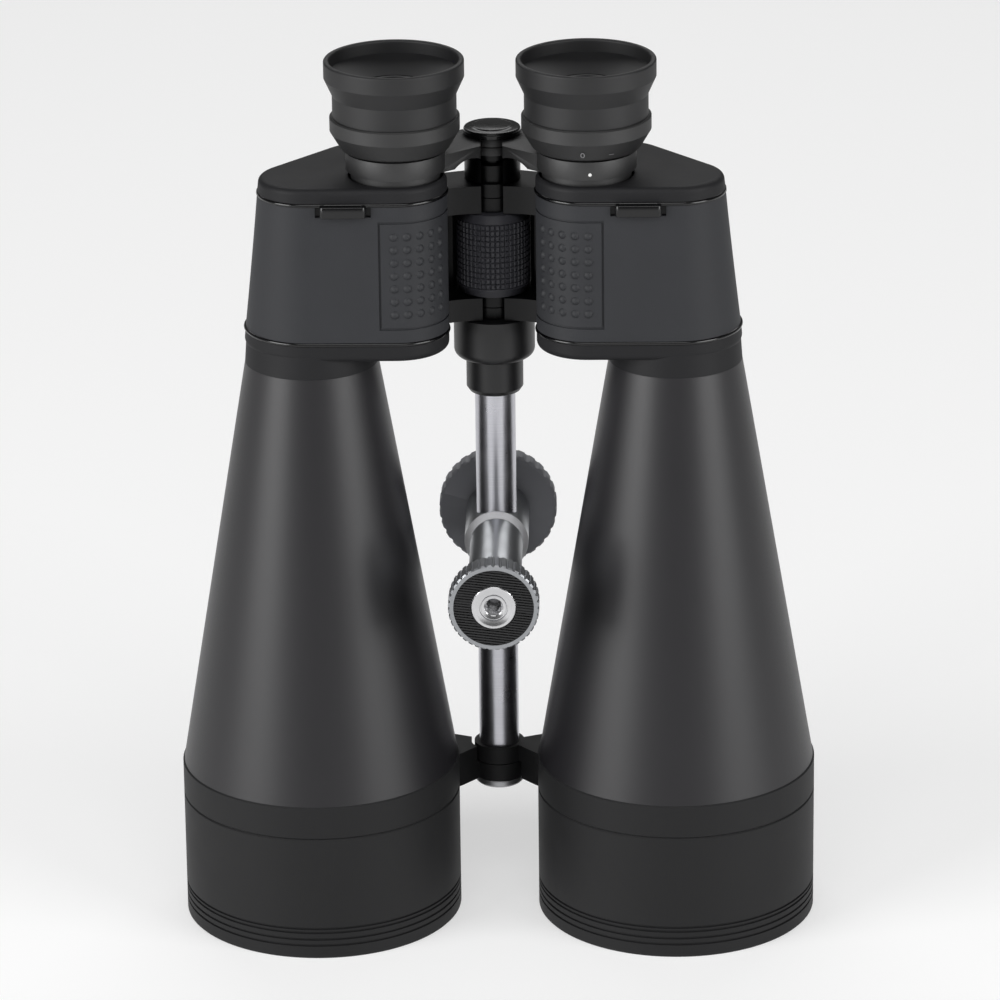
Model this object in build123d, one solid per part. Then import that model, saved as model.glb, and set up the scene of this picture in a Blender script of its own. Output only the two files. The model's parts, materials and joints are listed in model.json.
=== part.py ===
from build123d import *
import os
from math import asin, atan2, cos, degrees, hypot, pi, radians, sin

# Giant porro-prism binoculars standing on their objective hoods, in millimetres.
# Z is up, X runs to the user's right and Y away from the tripod side.
# The objective axes stand at y = 0. Every paired piece is drawn for the right half
# (x > 0) and mirrored for the left.

# Clearances
RUN = 0.05  # radial, a shaft that turns or slides in its bore
SEAT = 0.03  # between pieces that are fixed together
AIR = 0.35  # between pieces that move past each other

# Hood and objective cell: the glass sets the hood, and the hood sets the objective axis
LENS_R = 42.0  # objective glass
CELL_WALL = 6.5  # from the glass out to the outside of the hood
HOOD_GAP = 13.8  # half of the gap between the hoods
HOOD_H = 45.0
HOOD_WALL = 3.6
HOOD_GROOVES = (5.0, 7.3, 9.8, 11.3)  # heights of the grip grooves
HOOD_GROOVE = 0.9  # width of a groove
HOOD_GROOVE_DEPTH = 0.6
HOOD_GROOVE_DRAFT = 0.2
EDGE_BREAK = 0.5  # chamfer of visible turned edges
CELL_H = 12.0
SPIGOT_L = 5.0  # overlap of a turned piece inside its neighbour
SPIGOT_WALL = 1.7
LENS_LIP = 2.0  # shoulder that the glass seats on
RETAINER_H = 1.9
CROWN_EDGE = 3.0
OBJECTIVE_SAG = 3.0

# Barrel
BARREL_L = 147.0
BARREL_STEP = 0.5  # of the cone's foot inside the cell ring
BARREL_WALL = 1.8
CONE_TOP_R = 22.9
NECK_R = 20.0
NECK_H = 10.0
NECK_COLLAR_H = 6.0  # of the bottom cover round the neck, under its plate

# Prism housing: its outline is three circles joined by tangents, and it tapers upwards
AXIS_SETBACK = 0.5  # eyepiece axis behind the middle of the inner corner
PRISM_ROOM = 5.1  # height left over by the prisms and their shelf
FRONT = 22.4  # distance of the flat front from the objective axes
OUTER_R_LOW = 22.4
OUTER_R_HIGH = 16.9
BACK_IN = 17.3  # middle of the rounded back, inwards of the objective axis
BACK_Y = 17.5
BACK_R = 14.5
HOUSING_WALL = 2.2
ARMOUR = 1.2  # rubber skin
LIP = 0.8  # height of the bare edge that shows at each seam
LIP_PROUD = 0.3
TOP_COVER_H = 5.2
TOP_EDGE_R = 2.0
BOTTOM_COVER_H = 6.0
BOTTOM_EDGE_R = 2.4
COVER_PLATE = 2.2
COLLAR_SINK = 0.2  # of the barrel's collar into the bottom cover's side

# Thumb pad on the armour
PAD_OUT = 5.7  # outer edge, outwards of the eyepiece axis
PAD_RISE = 5.6  # over the lower seam
PAD_H = 38.5
PAD_GROOVE = 0.8
PAD_GROOVE_DEPTH = 0.5
BUMP_COLUMNS = 5
BUMP_ROWS = 7
BUMP_PITCH = 4.6
BUMP_R = 1.45
BUMP_H = 0.8
BUMP_FIRST_ANGLE = -1.5  # of the outermost column round the inner corner, degrees

# Strap lug, a staple in a pocket of the armour under the upper seam
LUG_IN = 12.7  # middle, inwards of the objective axis
LUG_W = 15.6
LUG_BAR = 4.1  # height of the bar
LUG_THICK = 1.8
LUG_ROUND = 1.4
LUG_GAP = 2.6  # room for the strap
LUG_POCKET = 1.6  # margin of the pocket beside the staple
LUG_SILL = 0.5  # margin under it

# Prisms
PRISM_W = 17.0
PRISM_RIDGE = 1.2  # width of the flat ground on the ridge
SHELF_T = 2.4
LIGHT_R = 9.0  # holes in the shelf
CLIP_W = 5.0
CLIP_T = 0.8

# Central hinge: the rod sets everything that is threaded on it
HINGE_Y = 18.5
ROD_R = 7.0
ROD_SEAT = 9.5  # top of the rod under the lower lugs
TUBE_WALL = 2.4  # hinge tube
KNUCKLE_WALL = 1.8
LUG_WALL = 1.7  # of a lug outside its knuckle
LUG_FRONT_GAP = 3.75  # half of the gap between the lugs in front of the knuckles
UPPER_LUG_DROP = 3.6  # under the upper seam
UPPER_LUG_H = 9.7
LOWER_LUG_DROP = 1.5  # foot of the lower lugs under the lower seam
LOWER_LUG_H = 8.0
LUG_COVE_R = 28.6  # hollow of a lug's front, from the hinge out to the housing
LUG_COVE_DEPTH = 5.0
WEB_BACK = 3.5  # front of the web between the lugs, behind the hinge line
WEB_T = 4.0
FOOT_LUG_DROP = 3.3  # foot of the lower hinge under the top of the hood
FOOT_LUG_H = 12.4
FOOT_LUG_GAP = 1.3  # between an arm of the lower hinge and the other half's knuckle
FOOT_ARM_TIP = 1.0  # radius of the arm's tip in the knuckle, and its place before the hinge line
FOOT_ARM_R = 10.9  # round end of the arm inside the hood
FOOT_ARM_IN = 7.0  # middle of that end, from the nearest side of the hood
FOOT_ARM_FRONT = 4.9  # and in front of the hinge line
HUB_STEP = 4.15  # of the hub outside its collar
HUB_H = 15.4
HUB_ROUND = 3.0
COLLAR_WALL = 2.85
COLLAR_H = 12.5
CAP_WALL = 1.6
CAP_DROP = 3.1  # end of the cap under the lower knuckles
CAP_FLOOR = 1.4

# Focus drive
PIN_ROOM = 3.0  # round the hinge tube inside the wheel, for the follower pin
WHEEL_WALL = 2.8
WHEEL_RIM_H = 3.4
WHEEL_CHAMFER = 1.2
WHEEL_FLUTES = 30
WHEEL_FLUTE = 1.0
WHEEL_FLUTE_DEPTH = 0.6
FOCUS_TRAVEL = 7.4
PIN_R = 1.5
SLEEVE_WALL = 2.6
FLANGE_STEP = 1.8  # of the shaft's flange outside the tube's bore
FLANGE_H = 2.0
SHAFT_L_BELOW = 4.0  # of shaft under the pin

# Bridge and eyepieces: the sliding tube sets everything round it
BRIDGE_RISE = 1.0  # over the top cover
BRIDGE_H = 6.0
BRIDGE_KNUCKLE_WALL = 3.0
BRIDGE_LUG_WALL = 1.6
BRIDGE_ARM_R = 12.0  # half-width of the arm at the eyepiece
BRIDGE_ARCH = 2.4  # rise of the arch under the arm
BRIDGE_CAP_LIP = 2.2  # of the cap outside the knuckles
BRIDGE_CAP_H = 2.8
BRIDGE_CAP_EDGE = 3.2  # from the cap's rim in to its raised land
BRIDGE_CAP_LAND = 0.5
SLIDE_R = 11.9
SLIDE_L = 16.0
SLIDE_WALL = 1.6
GUIDE_WALL = 1.4
GUIDE_L = 8.2
GUIDE_ROOM = 0.65  # between the guide and the housing
GUIDE_OVER = 0.4  # of the guide over the side of the upper prism
TUBE_STEP = 3.3  # of the tube outside its sliding part
RECESS_ROOM = 1.0  # round the tube in the top cover
RECESS_FLOOR = 2.0
RING_WALL = 1.7
RING_H = 6.3
RING_RISE = 1.4  # over the foot of the bridge
CORE_STEP = 1.2  # of the tube's spigot, which the ocular turns on, inside the tube
LENS_CELL_WALL = 1.2
LENS_CELL_DROP = 12.4  # foot of the cell under the recess
OCULAR_GAP = 1.0
OCULAR_STEP = 1.7  # of the ocular's foot outside the ring
OCULAR_FLARE = 3.4
OCULAR_TAPER_H = 5.8
OCULAR_BAND_H = 5.5
EYECUP_STEP = 1.0  # of the eyecup inside the ocular's band
EYECUP_NECK_H = 7.4
EYECUP_SEAT_H = 4.8  # of the ocular's neck inside the eyecup
EYECUP_FLARE = 2.7
EYECUP_FLARE_H = 6.0
EYECUP_RIM_H = 6.0
EYECUP_RIM_WALL = 1.9
EYECUP_ROUND = 0.75
EYECUP_DEPTH = 4.4
EYECUP_FUNNEL_LIP = 0.9  # of the funnel outside the lens cell
EYECUP_FUNNEL_H = 4.6
EYE_LENS_EDGE = 3.0
EYE_LENS_SAG = 1.6
FIELD_LENS_EDGE = 4.0
FIELD_LENS_SAG = 2.2

# Tripod carrier, turned about an axis along Y
CARRIER_Z = 132.0
FOOT_FRONT_Y = -51.5
FOOT_R = 15.5
FOOT_T = 9.0
FOOT_FLUTES = 40
FOOT_FLUTE = 1.1
PAD_R = 13.65
PAD_T = 1.2
BUSH_R = 7.85
BUSH_L = 17.0
BUSH_RIM = 0.4
BUSH_DISH_R = 4.9
BUSH_DISH = 0.8
THREAD_R = 2.6  # wall of the tripod thread
THREAD_L = 10.0
THREAD_MOUTH = 1.4  # countersink
POST_NECK_WALL = 1.3
POST_WALL = 4.15  # round the rod
POST_FRONT_WALL = 2.0
POST_BACK_Y = 42.8
POST_CHAMFER = 1.9
SCREW_R = 4.0
SHOE_L = 5.0
KNOB_R = 20.75
KNOB_T = 8.0
KNOB_GAP = 0.7
KNOB_NOTCHES = 30
KNOB_NOTCH_R = 1.2
KNOB_NOTCH_DEPTH = 0.55

# Sizes that follow from the ones above
HOOD_R = LENS_R + CELL_WALL
CELL_TOP = HOOD_H + CELL_H
LENS_BORE = LENS_R + SEAT
LENS_CLEAR_R = LENS_R - LENS_LIP
CROWN_Z = HOOD_H + RETAINER_H + OBJECTIVE_SAG * (1 - (LENS_CLEAR_R / LENS_R) ** 2) + 2 * SEAT
CONE_FOOT_R = HOOD_R - BARREL_STEP
CONE_TOP_Z = CELL_TOP + BARREL_L
LENS_CELL_R = SLIDE_R - SLIDE_WALL
TUBE_R = SLIDE_R + TUBE_STEP
RING_R = TUBE_R + RING_WALL
RECESS_R = TUBE_R + RECESS_ROOM
INNER_R = SLIDE_R + RUN + GUIDE_WALL + GUIDE_ROOM + HOUSING_WALL + ARMOUR
OBJECTIVE_X = HOOD_R + HOOD_GAP
EYEPIECE_Y = INNER_R - FRONT + AXIS_SETBACK
PRISM_HALF = SLIDE_R + RUN + GUIDE_WALL - GUIDE_OVER + PRISM_W / 2  # half of a prism's long face
AXIS_OFFSET = (2 * PRISM_HALF**2 - EYEPIECE_Y**2) ** 0.5  # eyepiece axis inwards of the objective axis
EYEPIECE_X = OBJECTIVE_X - AXIS_OFFSET
HINGE = (0.0, HINGE_Y)
OBJECTIVE = (OBJECTIVE_X, 0.0)
EYEPIECE = (EYEPIECE_X, EYEPIECE_Y)
HOUSING_Z = CONE_TOP_Z + NECK_COLLAR_H + BOTTOM_COVER_H  # lower seam
HOUSING_H = 2 * PRISM_HALF + SHELF_T + PRISM_ROOM
HOUSING_TOP = HOUSING_Z + HOUSING_H  # upper seam
COVER_TOP = HOUSING_TOP + TOP_COVER_H
SHELF_Z = HOUSING_Z + (HOUSING_H - SHELF_T) / 2
BUMP_BALL = (BUMP_R**2 + BUMP_H**2) / (2 * BUMP_H)
PAD_X = EYEPIECE_X + PAD_OUT
PAD_Z = HOUSING_Z + PAD_RISE
LUG_X = OBJECTIVE_X - LUG_IN
LUG_Z = HOUSING_TOP - SEAT - LUG_BAR
KNUCKLE_R = ROD_R + KNUCKLE_WALL
LUG_R = KNUCKLE_R + LUG_WALL
UPPER_LUG_Z = HOUSING_TOP - UPPER_LUG_DROP - UPPER_LUG_H
LOWER_LUG_Z = HOUSING_Z - LOWER_LUG_DROP
FOOT_LUG_Z = HOOD_H - FOOT_LUG_DROP
ROD_FOOT_Z = FOOT_LUG_Z - CAP_DROP
TUBE_SEAT_Z = LOWER_LUG_Z - ROD_SEAT  # top of the rod and foot of the hinge tube
TUBE_BORE_R = ROD_R - TUBE_WALL
COLLAR_R = ROD_R + COLLAR_WALL
HUB_R = COLLAR_R + HUB_STEP
CAP_R = ROD_R + CAP_WALL
WHEEL_RELIEF_R = ROD_R + PIN_ROOM
WHEEL_R = WHEEL_RELIEF_R + WHEEL_WALL
WHEEL_Z = LOWER_LUG_Z + LOWER_LUG_H + AIR
WHEEL_H = UPPER_LUG_Z - AIR - WHEEL_Z
PIN_Z = WHEEL_Z + WHEEL_RIM_H + 2 * PIN_R
BRIDGE_Z = COVER_TOP + BRIDGE_RISE
BRIDGE_KNUCKLE_R = TUBE_BORE_R + BRIDGE_KNUCKLE_WALL
BRIDGE_LUG_R = BRIDGE_KNUCKLE_R + BRIDGE_LUG_WALL
BRIDGE_CAP_R = BRIDGE_KNUCKLE_R + BRIDGE_CAP_LIP
SLEEVE_R = ROD_R + SLEEVE_WALL
SLEEVE_Z = UPPER_LUG_Z + UPPER_LUG_H + AIR
SLEEVE_TOP = BRIDGE_Z - 3 * AIR
TUBE_TOP = SLEEVE_TOP - FLANGE_H - 2 * AIR
RING_Z = BRIDGE_Z + RING_RISE
RECESS_Z = HOUSING_TOP + RECESS_FLOOR
LENS_CELL_Z = RECESS_Z - LENS_CELL_DROP
OCULAR_CORE_R = TUBE_R - CORE_STEP
OCULAR_R_LOW = RING_R + OCULAR_STEP
OCULAR_R = OCULAR_R_LOW + OCULAR_FLARE
OCULAR_Z = RING_Z + RING_H + OCULAR_GAP
OCULAR_BAND_Z = OCULAR_Z + OCULAR_TAPER_H
EYECUP_R = OCULAR_R - EYECUP_STEP
EYECUP_RIM_R = EYECUP_R + EYECUP_FLARE
EYECUP_BORE = EYECUP_R - 2 * EYECUP_RIM_WALL  # on the ocular's neck
EYECUP_Z = OCULAR_BAND_Z + OCULAR_BAND_H
EYECUP_TOP = EYECUP_Z + EYECUP_NECK_H + EYECUP_FLARE_H + EYECUP_RIM_H
FUNNEL_R = LENS_CELL_R + EYECUP_FUNNEL_LIP
FUNNEL_Z = EYECUP_TOP - EYECUP_DEPTH - EYECUP_FUNNEL_H
POST_NECK_R = BUSH_R + POST_NECK_WALL
POST_BARREL_R = ROD_R + POST_WALL
POST_FRONT_Y = FOOT_FRONT_Y + FOOT_T
POST_STEP_Y = HINGE_Y - ROD_R - POST_FRONT_WALL
THREAD_Y = FOOT_FRONT_Y + BUSH_DISH + THREAD_MOUTH  # mouth of the thread
SHOE_Y = HINGE_Y + ROD_R + RUN


# Drawing helpers
def turned(points, at=(0.0, 0.0)):
    """A solid of revolution about a vertical axis, from (radius, height) corners."""
    profile = Plane.XZ * make_face(Polyline(*points, close=True))
    return Pos(at[0], at[1], 0) * revolve(profile, Axis.Z)


def turned_y(points):
    """A solid of revolution about the carrier's axis, from (radius, y) corners."""
    profile = Plane.XY * make_face(Polyline(*points, close=True))
    return Pos(0, 0, CARRIER_Z) * revolve(profile, Axis.Y)


def column(radius, low, high, at=(0.0, 0.0)):
    """A vertical cylinder between two heights."""
    base = Align.CENTER, Align.CENTER, Align.MIN
    return Pos(at[0], at[1], low) * Cylinder(radius, high - low, align=base)


def bar_y(radius, near, far):
    """A cylinder along the carrier's axis between two values of y."""
    return Pos(0, (near + far) / 2, CARRIER_Z) * Rot(90, 0, 0) * Cylinder(radius, far - near)


def block(low, high):
    """A box between two corners."""
    centre = [(a + b) / 2 for a, b in zip(low, high)]
    return Pos(*centre) * Box(*[b - a for a, b in zip(low, high)])


def tangent_outline(circles):
    """The closed outline round circles (x, y, r), listed anticlockwise, and its tangents."""
    normals = []
    for (x1, y1, r1), (x2, y2, r2) in zip(circles, circles[1:] + circles[:1]):
        heading = atan2(y2 - y1, x2 - x1)
        normals.append(heading - pi / 2 + asin((r1 - r2) / hypot(x2 - x1, y2 - y1)))
    edges = []
    for i, (x, y, r) in enumerate(circles):
        start, end = normals[i - 1], normals[i]
        while end < start:
            end += 2 * pi
        rim = [(x + r * cos(a), y + r * sin(a)) for a in (start, (start + end) / 2, end)]
        x2, y2, r2 = circles[(i + 1) % len(circles)]
        edges.append(ThreePointArc(*rim))
        edges.append(Line(rim[2], (x2 + r2 * cos(end), y2 + r2 * sin(end))))
    return make_face(edges)


def housing_outline(z, offset):
    """The housing's outline at a height, moved outwards by an offset."""
    rise = (z - HOUSING_Z) / HOUSING_H
    outer_r = OUTER_R_LOW + (OUTER_R_HIGH - OUTER_R_LOW) * rise
    circles = [
        (EYEPIECE_X, INNER_R - FRONT, INNER_R + offset),
        (OBJECTIVE_X, outer_r - FRONT, outer_r + offset),
        (OBJECTIVE_X - BACK_IN, BACK_Y, BACK_R + offset),
    ]
    return Pos(0, 0, z) * tangent_outline(circles)


def housing_block(low, high, offset=0.0):
    """The solid inside the housing's outline between two heights."""
    return loft([housing_outline(low, offset), housing_outline(high, offset)], ruled=True)


def lens(radius, low, high, sag_low, sag_high, at):
    """A lens between two edge heights; a positive sag bulges upwards."""

    def surface(edge, sag):
        if sag == 0:
            return Line((0, edge), (radius, edge))
        ball = (radius**2 + sag**2) / (2 * sag)
        half = asin(radius / abs(ball)) / 2
        middle = (abs(ball) * sin(half), edge + sag - ball + ball * cos(half))
        return ThreePointArc((0, edge + sag), middle, (radius, edge))

    sides = [Line((radius, low), (radius, high)), Line((0, low + sag_low), (0, high + sag_high))]
    profile = Plane.XZ * make_face([surface(low, sag_low), surface(high, sag_high)] + sides)
    return Pos(at[0], at[1], 0) * revolve(profile, Axis.Z)


def hinge_lug(arm, low, height, upper, knuckle_r, shaft_r, gap=AIR):
    """A hinge lug: a full-height arm that clears the other half's knuckle, and its own knuckle.

    The two knuckles share the height, one above the other. The arm is a plan face at z = 0.
    """
    middle = low + height / 2
    own = (middle + AIR / 2, low + height) if upper else (low, middle - AIR / 2)
    other = (low, middle + AIR / 2) if upper else (middle - AIR / 2, low + height)
    body = Pos(0, 0, low) * extrude(arm, height)
    body -= column(knuckle_r + gap, other[0], other[1], HINGE)
    body += column(knuckle_r, own[0], own[1], HINGE)
    return body - column(shaft_r + RUN, low, low + height, HINGE)


def arm_plan(reach, radius_out, lug_r, front_gap):
    """Plan of a hinge arm from the hinge line out to a circle, stopping short of the middle."""
    plan = tangent_outline([(0, HINGE_Y, lug_r), (*reach, radius_out)])
    far = 2 * OBJECTIVE_X
    return plan & (Pos(front_gap + far / 2, 0) * Rectangle(far, 2 * far))


# Objective end
def foot_arm_plan(grow=0.0):
    """Plan of the lower hinge's arm, from the knuckle out into the hood, grown by a margin."""
    tip = (KNUCKLE_R / 2, HINGE_Y - FOOT_ARM_TIP, FOOT_ARM_TIP + grow)
    end = (HOOD_GAP + FOOT_ARM_IN, HINGE_Y - FOOT_ARM_FRONT, FOOT_ARM_R + grow)
    return tangent_outline([tip, end])


def hood():
    """Rubber-covered dew shield with four grip grooves and a notch under the hinge arm."""
    bore = HOOD_R - HOOD_WALL
    rebate = bore + SPIGOT_WALL + SEAT
    outline = [(bore, 0), (HOOD_R - EDGE_BREAK, 0), (HOOD_R, EDGE_BREAK)]
    for z in HOOD_GROOVES:
        floor = HOOD_R - HOOD_GROOVE_DEPTH
        low, high = z - HOOD_GROOVE / 2, z + HOOD_GROOVE / 2
        draft = HOOD_GROOVE_DRAFT
        outline += [(HOOD_R, low), (floor, low + draft), (floor, high - draft), (HOOD_R, high)]
    outline += [
        (HOOD_R, HOOD_H - EDGE_BREAK),
        (HOOD_R - EDGE_BREAK, HOOD_H),
        (rebate, HOOD_H),
        (rebate, HOOD_H - SPIGOT_L),
        (bore, HOOD_H - SPIGOT_L),
    ]
    notch = extrude(foot_arm_plan(SEAT), FOOT_LUG_H)
    return turned(outline, OBJECTIVE) - Pos(0, 0, FOOT_LUG_Z - SEAT) * notch


def cell_ring(upper):
    """Objective cell, with spigots into the hood and the barrel and the lower hinge lug."""
    bore = HOOD_R - HOOD_WALL
    clear = LENS_CLEAR_R
    spigot = CONE_FOOT_R - BARREL_WALL - SPIGOT_L * (CONE_FOOT_R - CONE_TOP_R) / BARREL_L
    ring = turned(
        [
            (LENS_BORE, HOOD_H),
            (bore, HOOD_H),
            (bore, HOOD_H - SPIGOT_L),
            (bore + SPIGOT_WALL, HOOD_H - SPIGOT_L),
            (bore + SPIGOT_WALL, HOOD_H),
            (HOOD_R - EDGE_BREAK, HOOD_H),
            (HOOD_R, HOOD_H + EDGE_BREAK),
            (HOOD_R, CELL_TOP - EDGE_BREAK),
            (HOOD_R - EDGE_BREAK, CELL_TOP),
            (spigot - SEAT, CELL_TOP),
            (spigot - SEAT, CELL_TOP + SPIGOT_L),
            (clear, CELL_TOP + SPIGOT_L),
            (clear, CELL_TOP - LENS_LIP),
            (LENS_BORE, CELL_TOP - LENS_LIP),
        ],
        OBJECTIVE,
    )
    plan = foot_arm_plan() - Pos(*OBJECTIVE) * Circle(bore)
    gap = FOOT_LUG_GAP
    return ring + hinge_lug(plan, FOOT_LUG_Z, FOOT_LUG_H, upper, KNUCKLE_R, ROD_R, gap)


def retainer():
    """Threaded ring that holds the objective glass in its cell."""
    low, high = HOOD_H, HOOD_H + RETAINER_H
    outline = [(LENS_CLEAR_R, low), (LENS_R, low), (LENS_R, high), (LENS_CLEAR_R, high)]
    return turned(outline, OBJECTIVE)


def crown_lens():
    """Front glass of the objective, convex both ways."""
    low = CROWN_Z
    return lens(LENS_R, low, low + CROWN_EDGE, -OBJECTIVE_SAG, OBJECTIVE_SAG, OBJECTIVE)


def flint_lens():
    """Rear glass of the objective, cupped to the crown, flat where it seats on the shoulder."""
    low = CROWN_Z + CROWN_EDGE + SEAT
    high = CELL_TOP - LENS_LIP - SEAT
    return lens(LENS_R, low, high, OBJECTIVE_SAG, 0, OBJECTIVE)


def barrel():
    """Hollow cone from the objective cell up to a neck in the bottom cover."""
    foot, top = CELL_TOP, CONE_TOP_Z
    neck_top = CONE_TOP_Z + NECK_H
    return turned(
        [
            (CONE_FOOT_R - BARREL_WALL, foot),
            (CONE_FOOT_R, foot),
            (CONE_TOP_R, top),
            (NECK_R, top),
            (NECK_R, neck_top),
            (NECK_R - BARREL_WALL, neck_top),
            (NECK_R - BARREL_WALL, top - BARREL_WALL),
            (CONE_TOP_R - BARREL_WALL, top - 2 * BARREL_WALL),
        ],
        OBJECTIVE,
    )


# Prism housing
def lug_pocket(offset):
    """Space of the strap lug's pocket, from in front of the armour in to an offset of the outline."""
    half_w = LUG_W / 2 + LUG_POCKET
    floor = -FRONT - offset
    return block((LUG_X - half_w, 2 * floor, LUG_Z - LUG_SILL), (LUG_X + half_w, floor, HOUSING_TOP))


def lug_plan(front_gap, grow=0.0):
    """Plan of a housing lug: an arm with a hollow front that flares out to the housing."""
    reach = (EYEPIECE_X, HINGE_Y - LUG_R / 2)
    plan = arm_plan(reach, LUG_R / 2 + grow, LUG_R + grow, front_gap)
    front = HINGE_Y - LUG_R - grow
    length = EYEPIECE_X - INNER_R / 2 - LUG_FRONT_GAP
    corner = Align.MIN, Align.MAX
    flare = Pos(LUG_FRONT_GAP, front) * Rectangle(length, LUG_COVE_DEPTH, align=corner)
    return plan + (flare - Pos(LUG_FRONT_GAP, front - LUG_COVE_R) * Circle(LUG_COVE_R))


def lug_web(grow=0.0):
    """Wall that joins the two lugs of a half behind the focus wheel, grown by a margin."""
    near = HINGE_Y + WEB_BACK
    inner = ((WHEEL_R + AIR) ** 2 - WEB_BACK**2) ** 0.5
    low, high = LOWER_LUG_Z + LOWER_LUG_H / 2, UPPER_LUG_Z + UPPER_LUG_H / 2
    return block(
        (inner, near - grow, low), (OBJECTIVE_X - BACK_IN, near + WEB_T + grow, high)
    )


def prism_housing(upper):
    """Cast prism housing, open above and below, with a bare lip at each seam and two joined lugs."""
    core = housing_block(HOUSING_Z, HOUSING_TOP, -ARMOUR - SEAT)
    core += housing_block(HOUSING_Z, HOUSING_Z + LIP, LIP_PROUD)
    core += housing_block(HOUSING_TOP - LIP, HOUSING_TOP, LIP_PROUD)
    inside = housing_block(HOUSING_Z, HOUSING_TOP, -ARMOUR - HOUSING_WALL)
    plan = lug_plan(LUG_FRONT_GAP)
    lugs = hinge_lug(plan, UPPER_LUG_Z, UPPER_LUG_H, upper, KNUCKLE_R, ROD_R)
    lugs += hinge_lug(plan, LOWER_LUG_Z, LOWER_LUG_H, upper, KNUCKLE_R, ROD_R)
    lugs += lug_web()
    lugs -= housing_block(LOWER_LUG_Z, HOUSING_Z, AIR)
    core -= lug_pocket(-ARMOUR - SEAT)
    return core + lugs - inside


def bump_places():
    """Angle round the housing's inner front corner and height of each bump."""
    step = degrees(BUMP_PITCH / INNER_R)
    middle = PAD_Z + PAD_H / 2
    for column_number in range(BUMP_COLUMNS):
        for row in range(BUMP_ROWS):
            angle = -90 - BUMP_FIRST_ANGLE - step * column_number
            yield angle, middle + (row - (BUMP_ROWS - 1) / 2) * BUMP_PITCH


def armour():
    """Rubber skin of the housing between the seams, with the grooved thumb pad and its bumps."""
    low, high = HOUSING_Z + LIP + SEAT, HOUSING_TOP - LIP - SEAT
    skin = housing_block(low, high) - housing_block(low, high, -ARMOUR)
    far = PAD_X + FRONT
    pad = block((-far, -far, PAD_Z), (PAD_X, INNER_R - FRONT, PAD_Z + PAD_H))
    inset = PAD_GROOVE
    frame = pad - block(
        (-2 * far, -2 * far, PAD_Z + inset), (PAD_X - inset, far, PAD_Z + PAD_H - inset)
    )
    skin -= frame - housing_block(low, high, -PAD_GROOVE_DEPTH)
    for low, height in ((UPPER_LUG_Z, UPPER_LUG_H), (LOWER_LUG_Z, LOWER_LUG_H)):
        skin -= Pos(0, 0, low - SEAT) * extrude(lug_plan(0, SEAT), height + 2 * SEAT)
    skin -= lug_web(SEAT)
    skin -= lug_pocket(-2 * ARMOUR)
    sunk = degrees(asin(1 - (BUMP_H + ARMOUR / 2) / BUMP_BALL))
    base = Align.CENTER, Align.CENTER, Align.MIN
    bump = Rot(0, 90, 0) * Sphere(BUMP_BALL, sunk, 90, align=base)
    reach = INNER_R - ARMOUR / 2
    for angle, z in bump_places():
        skin += Pos(EYEPIECE_X, INNER_R - FRONT, z) * Rot(0, 0, angle) * Pos(reach, 0, 0) * bump
    return skin


def top_cover():
    """Top cover with the recess and guide of the eyepiece tube."""
    cover = housing_block(HOUSING_TOP, COVER_TOP)
    cover = fillet(cover.faces().sort_by(Axis.Z)[-1].edges(), TOP_EDGE_R)
    hollow = housing_block(HOUSING_TOP, COVER_TOP - COVER_PLATE, -ARMOUR - HOUSING_WALL)
    guide = column(SLIDE_R + RUN + GUIDE_WALL, HOUSING_TOP - GUIDE_L, RECESS_Z, EYEPIECE)
    well = column(RECESS_R, RECESS_Z, COVER_TOP, EYEPIECE)
    core = column(RECESS_R + RECESS_ROOM, HOUSING_TOP, COVER_TOP, EYEPIECE)
    cover -= hollow - core
    cover = cover + guide - well
    return cover - column(SLIDE_R + RUN, HOUSING_TOP - GUIDE_L, COVER_TOP, EYEPIECE)


def bottom_cover():
    """Bottom cover, with a collar that takes the barrel's neck."""
    low = HOUSING_Z - BOTTOM_COVER_H
    cover = housing_block(low, HOUSING_Z)
    cover = fillet(cover.faces().sort_by(Axis.Z)[0].edges(), BOTTOM_EDGE_R)
    foot, top = CONE_TOP_Z + SEAT, HOUSING_Z - COVER_PLATE
    top_r = OUTER_R_LOW - COLLAR_SINK
    cover += turned([(0, foot), (CONE_TOP_R, foot), (top_r, top), (0, top)], OBJECTIVE)
    hollow = housing_block(low + COVER_PLATE, HOUSING_Z, -ARMOUR - HOUSING_WALL)
    core = column(CONE_TOP_R - ARMOUR, low, HOUSING_Z, OBJECTIVE)
    cover -= hollow - core
    return cover - column(NECK_R + SEAT, CONE_TOP_Z, HOUSING_Z, OBJECTIVE)


def strap_lug():
    """Staple that the strap goes behind, standing on the casting in its pocket."""
    left, right = LUG_X - LUG_W / 2, LUG_X + LUG_W / 2
    back = ARMOUR - FRONT
    front = back - LUG_GAP - LUG_THICK
    top = LUG_Z + LUG_BAR
    staple = block((left, front, LUG_Z), (right, back, top))
    staple -= block((left + LUG_THICK, front + LUG_THICK, LUG_Z), (right - LUG_THICK, back, top))
    return fillet(staple.edges().filter_by(Axis.Z).group_by(Axis.Y)[0], LUG_ROUND)


# Prisms, with the light path of a crossed porro pair
def prism_frame():
    """Places (x, y, heading) of the upper and lower prism, and where the light turns between them."""
    heading = degrees(atan2(EYEPIECE_Y, -AXIS_OFFSET)) - 45
    turn = radians(heading)
    corner = (OBJECTIVE_X + PRISM_HALF * cos(turn), PRISM_HALF * sin(turn))
    upper = ((OBJECTIVE_X + corner[0]) / 2, corner[1] / 2, heading)
    lower = ((EYEPIECE_X + corner[0]) / 2, (EYEPIECE_Y + corner[1]) / 2, heading + 90)
    return upper, lower, corner


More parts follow.
